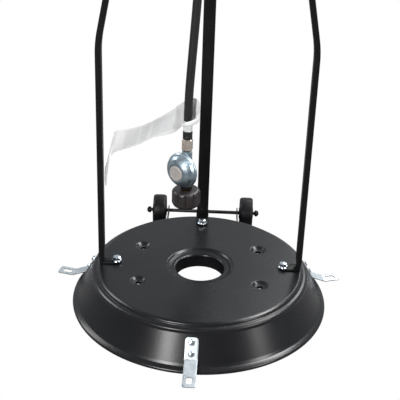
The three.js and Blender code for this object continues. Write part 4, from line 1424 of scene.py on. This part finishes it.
# ------------------------------------------------------------------ ground clips
@dataclass
class GroundClips:
    """Three bent plated strips on the skirt, each with a slotted foot and two screws.

    Attributes:
        angles: Each clip's place round the base, in degrees, by its side.
        half: Half the strip's width.
        thick: The strip's thickness.
        skirt_high: A point of the skirt's middle line, as (radius, height).
        skirt_low: Another point of it, lower down.
        top_height: The height of the strip's top on the skirt.
        bend_height: The height on the skirt where the strip leaves it.
        heel: Where the foot starts, as (radius, height).
        toe: Where the foot ends.
        slot: The slot's length and width.
        slot_corner: The radius of the slot's corners.
        corners: The radius of the corners at the top and at the toe.
        skin: Half the skirt's thickness.
        screws: The screws' heights on the skirt.
    """

    angles: dict[str, float] = field(
        default_factory=lambda: {"front": -92.0, "right": 16.5, "left": 166.5})
    half: float = 11.0
    thick: float = 2.0
    skirt_high: tuple[float, float] = (194.2, 57.0)
    skirt_low: tuple[float, float] = (218.5, 14.0)
    top_height: float = 52.5
    bend_height: float = 21.0
    heel: tuple[float, float] = (243.0, 9.6)
    toe: tuple[float, float] = (273.0, 9.6)
    slot: tuple[float, float] = (18.0, 10.5)
    slot_corner: float = 3.2
    corners: tuple[float, float] = (6.0, 4.0)
    skin: float = 0.6
    screws: dict[str, float] = field(default_factory=lambda: {"upper": 45.3, "lower": 28.5})

    def normal(self) -> Vector:
        """Returns the skirt's outward direction as (radius, height)."""
        run = Vector(self.skirt_low) - Vector(self.skirt_high)
        return Vector((-run.y, run.x)).normalized()

    def on_skirt(self, height: float, lift: float) -> Vector:
        """Returns the point at a height on the skirt, lifted off the middle of its sheet.

        Args:
            height: The height.
            lift: How far out of the sheet's middle.

        Returns:
            The point as (radius, height).
        """
        high, low = Vector(self.skirt_high), Vector(self.skirt_low)
        share = (high.y - height) / (high.y - low.y)
        return high.lerp(low, share) + self.normal() * lift

    def strip(self) -> Shape:
        """Returns one strip's middle skin, standing out along +X."""
        lift = self.skin + 0.3 + self.thick / 2
        line = rounded([
            tuple(self.on_skirt(self.top_height, lift)),
            tuple(self.on_skirt(self.bend_height, lift)), self.heel, self.toe,
        ], 5.0, 6)
        travel = [0.0]
        for a, b in zip(line, line[1:]):
            travel.append(travel[-1] + (b - a).length)
        total = travel[-1]
        slot_long = self.slot[0]
        slot_middle = total - (self.toe[0] - self.heel[0]) / 2 - 1
        top_corner, toe_corner = self.corners
        rows = set(travel)
        for step in range(9):
            angle = math.pi / 2 * step / 8
            rows.add(top_corner * (1 - math.cos(angle)))
            rows.add(total - toe_corner * (1 - math.cos(angle)))
            for end in (-1, 1):
                reach = slot_long / 2 - self.slot_corner * (1 - math.cos(angle))
                rows.add(slot_middle + end * reach)
        shape = Shape()
        ordered = sorted(rows)
        ordered = [s for i, s in enumerate(ordered) if i == 0 or s - ordered[i - 1] > 0.02]
        columns = 5
        for s in ordered:
            k = max(i for i, t in enumerate(travel) if t <= s + 1e-9)
            k = min(k, len(line) - 2)
            share = (s - travel[k]) / max(travel[k + 1] - travel[k], 1e-9)
            place = line[k].lerp(line[k + 1], share)
            edge = self.half - self.corner_loss(s, top_corner)
            edge = min(edge, self.half - self.corner_loss(total - s, toe_corner))
            gap = self.slot_half(s - slot_middle)
            for side in (-1, 1):
                for c in range(columns):
                    across = side * (gap + (edge - gap) * c / (columns - 1))
                    shape.points.append(Vector((place.x, across, place.y)))
        width = 2 * columns
        for r in range(len(ordered) - 1):
            for side in range(2):
                for c in range(columns - 1):
                    a = r * width + side * columns + c
                    shape.faces.append((a, a + 1, a + width + 1, a + width))
        return shape

    @staticmethod
    def corner_loss(distance: float, radius: float) -> float:
        """Returns how much a round corner takes off the half width at a distance from the end.

        Args:
            distance: The distance from the end.
            radius: The corner's radius.

        Returns:
            The loss of half width.
        """
        if distance >= radius:
            return 0.0
        return radius - math.sqrt(max(radius ** 2 - (radius - distance) ** 2, 0.0))

    def slot_half(self, offset: float) -> float:
        """Returns half the slot's width at an offset from its middle, with rounded corners.

        Args:
            offset: The offset along the strip.

        Returns:
            Half the width, or 0 beyond the slot.
        """
        (length, width), radius = self.slot, self.slot_corner
        beyond = abs(offset) - (length / 2 - radius)
        if abs(offset) >= length / 2 - 1e-6:
            return 0.0
        if beyond <= 0:
            return width / 2
        return width / 2 - radius + math.sqrt(max(radius ** 2 - beyond ** 2, 0.0))

    def build(self) -> None:
        """Makes the three strips, and their six screws as one Geometry Nodes row."""
        strip = self.strip()
        lean = self.normal()
        points, axes, turns, nodes = [], [], [], []
        for side, angle in self.angles.items():
            Piece(f"ground_strip_{side}", strip.placed(spin(angle)), CLIP_ZINC, "galvanised",
                  (f"ground_clip_{side}",), wall=self.thick, bevel=0.3, crease=50).make()
            for row, height in self.screws.items():
                seat = self.on_skirt(height, self.skin + self.thick + self.skin)
                place = spin(angle)
                points.append(place @ Vector((seat.x, 0, seat.y)))
                axes.append(place @ Vector((lean.x, 0, lean.y)))
                turns.append(15.0 + 37 * len(turns))
                nodes.append(f"clip_screw_{side}_{row}")
        Seats(points, axes, turns).fasten(
            Piece("clip_screws", Shape(), BRIGHT_ZINC, "zinc", tuple(nodes)), CLIP_SCREW)


# ------------------------------------------------------------------ wheels
@dataclass
class WheelSet:
    """Two moulded wheels on a thin rod that two plates hold, with a push-on cap at each end."""

    axle: tuple[float, float] = (265.5, 37.0)
    track: float = 88.5
    radius: float = 32.0
    half: float = 13.0
    rod: float = 3.5
    rod_length: float = 219.0
    hub: float = 11.0

    def wheel(self) -> Shape:
        """Returns one wheel, turned about its own axis."""
        r, half, hub = self.radius, self.half, self.hub
        outline = rounded([
            (4, -14.5), (hub, -14.5), (hub + 1, -half + 4), (r - 8, -half + 5), (r - 5.5, -half),
            (r - 2.5, -half), (r - 0.3, -half + 3.5), (r, 0), (r - 0.3, half - 3.5),
            (r - 2.5, half), (r - 5.5, half), (r - 8, half - 5), (hub + 1, half - 4),
            (hub, 14.5), (4, 14.5),
        ], 1.6, 4, closed=True)
        return lathe(outline, 96, closed=True)

    def build(self, frame: dict[str, Any]) -> None:
        """Makes the wheels, each on its own body, the rod and the caps, and dresses the plates and their
        rivets.
        """
        y, z = self.axle
        rod = lathe(rounded([(0, -self.rod_length / 2), (self.rod, -self.rod_length / 2),
                             (self.rod, self.rod_length / 2), (0, self.rod_length / 2)], 0.5), 32)
        Piece("axle_rod", rod.placed(shift(0, y, z) @ facing(Turn.RIGHT)), AXLE_BLACK,
              "axle_steel", ("axle",)).make()
        cap = lathe(rounded([(0, 0), (5.6, 0), (6.4, 1.2), (6.2, 4.2), (4.9, 6.6), (2.2, 8.1),
                             (0, 8.2)], 1.2), 48)
        for side, sign, turn in (("right", 1, Turn.RIGHT), ("left", -1, Turn.LEFT)):
            seat = shift(sign * self.track, y, z) @ facing(turn)
            Piece(f"moulded_wheel_{side}", self.wheel().placed(seat), WHEEL_PLASTIC,
                  "black_plastic", (f"wheel_{side}",), f"wheel_{side}").make()
            end = shift(sign * (self.rod_length / 2 - 3), y, z) @ facing(turn)
            Piece(f"push_cap_{side}", cap.placed(end), WHEEL_PLASTIC, "black_plastic",
                  (f"axle_cap_{side}",)).make()
            for node in (f"wheel_bracket_{side}", f"bracket_rivet_{side}"):
                dress_node(frame, node, POWDER_COAT)


# ------------------------------------------------------------------ regulator
@dataclass
class Regulator:
    """The pressed regulator that hangs on the hose, with its ferrule, nuts and cap disc.

    Attributes:
        place: The middle of the regulator.
        turn: How far its face is turned to the left, in degrees.
        lift: How far the rim's plane stands out from the middle.
        radius: The radius of the rim.
        end: Where the hose ends.
    """

    place: tuple[float, float, float] = (-29.1, 19.5, 255.0)
    turn: float = 37.0
    lift: float = 11.0
    radius: float = 32.0
    end: float = 345.0
    lobes: int = 10

    def facing(self) -> Matrix:
        """Returns the matrix that stands the covers on the regulator's own axis."""
        axis = spin(-self.turn) @ Vector((0, -1, 0))
        return (shift(*self.place) @ Matrix.Translation(axis * self.lift)
                @ spin(-self.turn) @ spin(90, "X"))

    def cover(self) -> Shape:
        """Returns the domed front cover with its crimped rim."""
        r = self.radius
        line = rounded([
            (0, 16.0), (12.0, 16.0), (13.2, 17.6), (17.4, 17.0), (23.4, 14.0), (28.0, 9.0),
            (29.8, 3.8), (r - 0.7, 2.6), (r - 0.1, 0.9), (r - 0.7, -0.9), (r - 2.6, -1.0),
        ], 2.6, 6)
        inner = offset_line(line, -1.2)
        outline = [tuple(p) for p in line] + [tuple(p) for p in inner[::-1]]
        outline = [(max(x, 0.0), y) for x, y in outline]
        return lathe(outline, 120)

    def shell(self) -> Shape:
        """Returns the rear shell, which the front cover is crimped on."""
        r = self.radius
        line = rounded([
            (0, -20), (10.5, -20), (12.5, -13.5), (17.5, -10.5), (24.5, -7.6), (28.6, -3.2),
            (r - 1.6, -1.4), (r - 2.8, -0.6), (22, -1.2), (0, -1.2),
        ], 2.4, 6)
        return lathe(line, 120)

    def build(self, frame: dict[str, Any]) -> list[Object]:
        """Makes the regulator and everything that hangs on the hose's end.


        Returns:
            The pieces that are on the hose's end.
        """
        x, y, z = self.place
        seat = self.facing()
        column = shift(x, y, z)
        bosses = lathe(rounded([(0, -38), (9.5, -38), (9.5, -24), (8.2, -22), (8.2, 14), (9, 16),
                                (9, 33), (0, 33)], 0.8), 64)
        block = prism([Vector(p) for p in ((-7.5, -7.5), (7.5, -7.5), (7.5, 7.5), (-7.5, 7.5))],
                      -20, 20)
        body = self.shell().placed(seat) + (bosses + block).placed(column)
        cap = lathe(rounded([(0, 16.4), (12.4, 16.4), (13.4, 17.6), (13.6, 19.6), (12.6, 21.0),
                             (9.6, 21.2), (9.2, 20.8), (0, 20.8)], 0.9), 96)
        made = [
            Piece("regulator_shell", body, REGULATOR_ZINC, "galvanised", ("regulator_body",)).make(),
            Piece("regulator_dome", self.cover().placed(seat), REGULATOR_ZINC, "galvanised",
                  ("regulator_cover",), crease=45).make(),
            Piece("cap_disc", cap.placed(seat), CAP_DISC_PLASTIC, "cap_plastic",
                  ("regulator_cap",)).make(),
        ]
        neck = lathe(rounded([(0, -38.4), (10.4, -38.4), (10.8, -36.4), (10.8, -26), (9.9, -24.6),
                              (0, -24.6)], 0.7), 64)
        made.append(Piece("neck_ring", neck.placed(column), WHEEL_PLASTIC, "black_plastic").make())
        made += self.hose_end()
        dress_node(frame, "regulator_diaphragm", DIAPHRAGM)
        dress_node(frame, "regulator_spring", SPRING_STEEL)
        dress_node(frame, "inlet_stem", BRASS)
        self.hand_nut()
        return made

    def hose_end(self) -> list[Object]:
        """Makes the crimped ferrule, its black ring and the hex nut.

        Returns:
            The three pieces.
        """
        x, y, _ = self.place
        column = shift(x, y, 0)
        top = self.end - 0.3
        ribs = [(8.1 if k % 2 else 7.75, 327.6 + k * 2.1) for k in range(8)]
        ferrule = lathe(rounded([(0, 325.8), (8.2, 325.8), *ribs, (7.9, top - 0.6),
                                 (7.3, top), (0, top)], 0.9), 64)
        ring = lathe(rounded([(0, 311.6), (7.6, 311.6), (8.4, 312.6), (8.4, 316), (8.0, 317),
                              (8.4, 318), (8.4, 325), (8.0, 325.6), (0, 325.6)], 0.5), 64)
        flats = rounded([(9.8 * math.cos(TAU * k / 6), 9.8 * math.sin(TAU * k / 6))
                         for k in range(6)], 0.7, 3, closed=True)
        waist = rounded([(8.7 * math.cos(TAU * k / 6), 8.7 * math.sin(TAU * k / 6))
                         for k in range(6)], 3.0, 3, closed=True)
        levels = [(waist, 290.0), (flats, 291.2), (flats, 309.6), (waist, 311.0)]
        nut = loft([[Vector((p.x, p.y, height)) for p in ring_line]
                    for ring_line, height in levels])
        return [
            Piece("crimped_ferrule", ferrule.placed(column), CRIMP_STEEL, "crimp_steel",
                  ("hose_ferrule",)).make(),
            Piece("ferrule_ring", ring.placed(column), HOSE_RUBBER, "hose_rubber").make(),
            Piece("swivel_nut", nut.placed(column @ spin(12)), NICKEL, "nickel",
                  ("hose_nut",), crease=30).make(),
        ]

    def hand_nut(self) -> None:
        """Makes the lobed hand nut, with a cone turned over each end."""
        x, y, _ = self.place
        bottom, top, count = 183.0, 214.0, 240
        bore, socket = 8.9, 12.7
        rings = []

        def ring(height: float, limit: float) -> list[Vector]:
            """Returns the lobed outline, cut back to the cone's radius at that height.

            Args:
                height: The outline's height.
                limit: The cone's radius.

            Returns:
                The points.
            """
            made = []
            for k in range(count):
                angle = TAU * k / count
                notch = (1 - abs(math.cos(angle * self.lobes / 2))) ** 1.6
                reach = min(25.0 - 3.2 * notch, limit)
                made.append(Vector((reach * math.cos(angle), reach * math.sin(angle), height)))
            return made

        rings += [circle(radius, top, count) for radius in (bore, 12.0, 17.0)]
        for step in range(9):
            drop = 0.3 + step * 0.7
            rings.append(ring(top - drop, 20.2 + 4.8 * math.sqrt(min(drop / 4.5, 1.0))))
        for height in (204.0, 199.0, 193.0):
            rings.append(ring(height, 30.0))
        for step in range(8):
            height = 190.0 - step * 0.95
            rise = height - bottom
            rings.append(ring(height, 19.8 + 5.2 * math.sqrt(min(rise / 6.0, 1.0))))
        rings += [circle(18.6, bottom, count), circle(socket, bottom, count),
                  circle(socket, top - 6, count), circle(bore, top - 6, count), rings[0]]
        Piece("ribbed_hand_nut", loft(rings, capped=False).placed(shift(x, y, 0)),
              HAND_NUT_PLASTIC, "hand_nut_plastic", ("coupling_nut",), "coupling_nut",
              crease=32).make()


# ------------------------------------------------------------------ post and head
@dataclass
class PostAndHead:
    """The post, the control housing on it, and the knob and the button in the housing."""

    radius: float = 28.5
    low: float = 872.0
    high: float = 1762.0
    housing: float = 80.0
    axis: float = 1868.0

    def build(self, frame: dict[str, Any]) -> None:
        """Makes the post, the housing, the knob and the button, and dresses what is inside.
        """
        tube = rounded([(self.radius - 1.6, self.low), (self.radius, self.low),
                        (self.radius, self.high), (self.radius - 1.6, self.high)],
                       0.5, 3, closed=True)
        Piece("post_tube", lathe(tube, 96, closed=True), TUBE_COAT,
              "coated_tube", ("post",)).make()
        r = self.housing
        line = rounded([(31.0, 1742), (31.0, 1768), (r * 0.62, 1786), (r, 1830), (r, 1852),
                        (r - 0.8, 1853), (r - 0.8, 1884), (r, 1885), (r, 1902), (r - 3, 1905),
                        (34, 1905)], 5.0, 6)
        shell = sheet_profile(line, 1.2)
        Piece("housing_shell", lathe(shell, 128, closed=True), STAINLESS,
              "stainless", ("control_housing",), crease=45).make()
        self.knob()
        self.button()
        for node, finish in (("gas_valve", BRASS), ("valve_stem", STAINLESS),
                             ("igniter", WHEEL_PLASTIC)):
            dress_node(frame, node, finish)

    def knob(self) -> None:
        """Makes the control knob: a skirt with a fluted grip and a raised pointer."""
        count = 144
        rings = [circle(0.01, 0, count), circle(20.6, 0, count), circle(21, 0.4, count),
                 circle(21, 3.2, count), circle(20.4, 4.4, count), circle(18.6, 5.0, count)]
        for height in (5.6, 8.0, 14.0, 17.6, 19.0):
            ring = []
            for k in range(count):
                angle = TAU * k / count
                flute = 0.7 * max(0.0, math.cos(angle * 12)) ** 2
                reach = 17.6 - flute - (0.0 if height < 18 else 0.8)
                ring.append(Vector((reach * math.cos(angle), reach * math.sin(angle), height)))
            rings.append(ring)
        rings += [circle(15.2, 20, count), circle(0.01, 20, count)]
        pointer = prism([Vector(p) for p in ((-1.3, 3), (1.3, 3), (1.3, 14.6), (-1.3, 14.6))],
                        19.4, 21.4)
        seat = shift(0, -(self.housing + 6), self.axis) @ facing(Turn.FRONT)
        Piece("fluted_knob", (loft(rings, capped=False) + pointer).placed(seat), WHEEL_PLASTIC,
              "black_plastic", ("control_knob",), "control_knob", crease=35).make()

    def button(self) -> None:
        """Makes the igniter's push button."""
        line = rounded([(0, 0), (8, 0), (8, 19), (7, 20), (4.5, 19.6), (0, 19.4)], 0.8)
        seat = spin(-128) @ shift(self.housing + 9 - 20, 0, self.axis) @ facing(Turn.RIGHT)
        Piece("push_button", lathe(line, 64).placed(seat), WHEEL_PLASTIC,
              "black_plastic", ("igniter_button",), "igniter_button").make()


@dataclass
class Emitter:
    """The perforated emitter screen with its cap, and the burner inside it."""

    low: float = 78.0
    high: float = 86.0
    bottom: float = 1906.0
    top: float = 2106.0
    band: float = 12.0
    columns: int = 60
    rows: int = 20
    opening: float = 0.7

    def inputs(self) -> list[TreeInput]:
        """Returns the perforation tree's named inputs, in metres."""
        return [
            TreeInput("Lower Radius", "NodeSocketFloat", self.low * MM),
            TreeInput("Upper Radius", "NodeSocketFloat", self.high * MM),
            TreeInput("Bottom", "NodeSocketFloat", (self.bottom + self.band) * MM),
            TreeInput("Height", "NodeSocketFloat", (self.top - self.bottom - 2 * self.band) * MM),
            TreeInput("Columns", "NodeSocketInt", self.columns),
            TreeInput("Rows", "NodeSocketInt", self.rows),
            TreeInput("Finish", "NodeSocketMaterial", STAINLESS.material()),
        ]

    def cell(self) -> Shape:
        """Returns one cell of the screen: a unit square with an eight-sided hole."""
        square = [Vector(p) for p in ((1, 0), (1, 1), (0, 1), (-1, 1), (-1, 0), (-1, -1), (0, -1),
                                      (1, -1))]
        outer = [Vector((p.x / 2, p.y / 2, 0)) for p in square]
        inner = circle(self.opening / 2, 0.0, 8)
        return loft([outer, inner], capped=False)

    def tree(self) -> Any:
        """Builds the tree: cells on a grid, merged, then rolled into the tapering screen.

        Returns:
            The tree.
        """
        tree, given = start_tree("perforated_screen_tree", self.inputs())
        size = given.outputs

        across = maths(tree, "SUBTRACT", size["Columns"], 1)
        up = maths(tree, "SUBTRACT", size["Rows"], 1)
        grid = add_node(tree, "GeometryNodeMeshGrid", links={
            "Size X": across, "Size Y": up, "Vertices X": size["Columns"],
            "Vertices Y": size["Rows"]})
        cells = add_node(tree, "GeometryNodeInstanceOnPoints", links={
            "Points": grid.outputs["Mesh"], "Instance": size["Geometry"]})
        real = add_node(tree, "GeometryNodeRealizeInstances", links={
            "Geometry": cells.outputs["Instances"]})
        flat = add_node(tree, "GeometryNodeMergeByDistance", {"Distance": 0.001}, {
            "Geometry": real.outputs["Geometry"]})
        where = add_node(tree, "GeometryNodeInputPosition")
        axes = add_node(tree, "ShaderNodeSeparateXYZ", links={"Vector": where.outputs["Position"]})
        share = maths(tree, "DIVIDE", axes.outputs["X"], size["Columns"])
        turn = maths(tree, "MULTIPLY", share, TAU)
        rise = maths(tree, "ADD", maths(tree, "DIVIDE", axes.outputs["Y"], size["Rows"]), 0.5)
        taper = maths(tree, "SUBTRACT", size["Upper Radius"], size["Lower Radius"])
        reach = maths(tree, "MULTIPLY_ADD", taper, rise, size["Lower Radius"])
        height = maths(tree, "MULTIPLY_ADD", rise, size["Height"], size["Bottom"])
        rolled = add_node(tree, "ShaderNodeCombineXYZ", links={
            "X": maths(tree, "MULTIPLY", maths(tree, "COSINE", turn), reach),
            "Y": maths(tree, "MULTIPLY", maths(tree, "SINE", turn), reach), "Z": height})
        placed = add_node(tree, "GeometryNodeSetPosition", links={
            "Geometry": flat.outputs["Geometry"], "Position": rolled.outputs["Vector"]})
        closed = add_node(tree, "GeometryNodeMergeByDistance", {"Distance": 1e-5}, {
            "Geometry": placed.outputs["Geometry"]})
        end_tree(tree, closed.outputs["Geometry"], size["Finish"])
        return tree

    def screen(self) -> None:
        """Makes the perforated part as one plain mesh, and its two plain bands."""
        cell = self.cell()
        mesh = bpy.data.meshes.new("perforated_screen")
        mesh.from_pydata(cell.points, [], cell.faces)
        made = new_object("perforated_screen", mesh)
        run_tree(made, self.tree(), self.inputs())
        skin = made.modifiers.new("wall", "SOLIDIFY")
        skin.thickness, skin.offset = 0.8 * MM, 0.0
        Piece("perforated_screen", cell, STAINLESS, "stainless", ("emitter_screen",),
              crease=30).join_frame(made)
        for name, radius, low, high in (
                ("screen_lower_band", self.low, self.bottom, self.bottom + self.band),
                ("screen_upper_band", self.high, self.top - self.band, self.top)):
            line = rounded([(radius - 0.6, low), (radius + 0.6, low), (radius + 0.6, high),
                            (radius - 0.6, high)], 0.3, 3, closed=True)
            Piece(name, lathe(line, 120, closed=True), STAINLESS,
                  "stainless").make()

    def build(self, frame: dict[str, Any]) -> None:
        """Makes the screen and the cap, and dresses the burner and the pilot.
        """
        self.screen()
        line = rounded([(92, self.top - 16), (92, self.top + 0.5), (90, self.top + 1.5),
                        (60, self.top + 1.5), (0.6, self.top + 1.5)], 2.0, 5)
        cap = sheet_profile(line, 1.5)
        Piece("screen_cap", lathe(cap, 128, closed=True), STAINLESS,
              "stainless", ("burner_cap",), crease=45).make()
        dress_node(frame, "mixer_tube", STAINLESS)
        dress_node(frame, "pilot_assembly", BRASS)


@dataclass
class Reflector:
    """The spun dish on its three studs, with a wing nut on each."""

    radius: float = 405.0
    crown: float = 2188.0
    edge: float = 2142.0
    crown_radius: float = 72.0

    def build(self, frame: dict[str, Any]) -> None:
        """Makes the dish and dresses its studs and nuts.
        """
        start, end = self.crown - 2.0, self.edge + 1.0
        line = [(0.6, self.crown + 0.5), (self.crown_radius - 8, self.crown + 0.5),
                (self.crown_radius, start - 0.5)]
        steps = 14
        for k in range(1, steps):
            share = k / steps
            at = self.crown_radius + share * (self.radius - 8 - self.crown_radius)
            bow = 5.2 * math.sin(math.pi * share)
            line.append((at, start - 2 + (end - start + 2) * share + bow))
        line += [(self.radius - 7, self.edge + 0.5), (self.radius - 3, self.edge - 2.4),
                 (self.radius - 0.9, self.edge - 2.0), (self.radius - 0.6, self.edge - 4.4),
                 (self.radius - 2.6, self.edge - 4.6)]
        outline = sheet_profile(rounded(line, 3.0, 4), 1.0)
        Piece("spun_dish", lathe(outline, 192, closed=True), SPUN_ALUMINIUM,
              "spun_aluminium", ("reflector",), crease=50).make()
        for i in (1, 2, 3):
            dress_node(frame, f"reflector_stud_{i}", BRIGHT_ZINC)
            dress_node(frame, f"wing_nut_{i}", BRIGHT_ZINC)


def corners(box: tuple[Vector, Vector]) -> list[list[float]]:
    """Returns a box's two corners as plain lists of numbers."""
    return [[round(value, 5) for value in corner] for corner in box]


def main() -> None:
    """Loads the frame and builds the heater round it, the camera and the hose first."""
    logging.basicConfig(level=logging.INFO, format="%(message)s")
    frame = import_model()
    Studio().build()
    hose = GasHose()
    hose_piece = hose.build()
    fittings = Regulator().build(frame)
    hose.declare()
    HangTag().build()
    BasePan().build()
    Legs().build()
    GroundClips().build()
    WheelSet().build(frame)
    PostAndHead().build(frame)
    Emitter().build(frame)
    Reflector().build(frame)


if __name__ == "__main__":
    main()
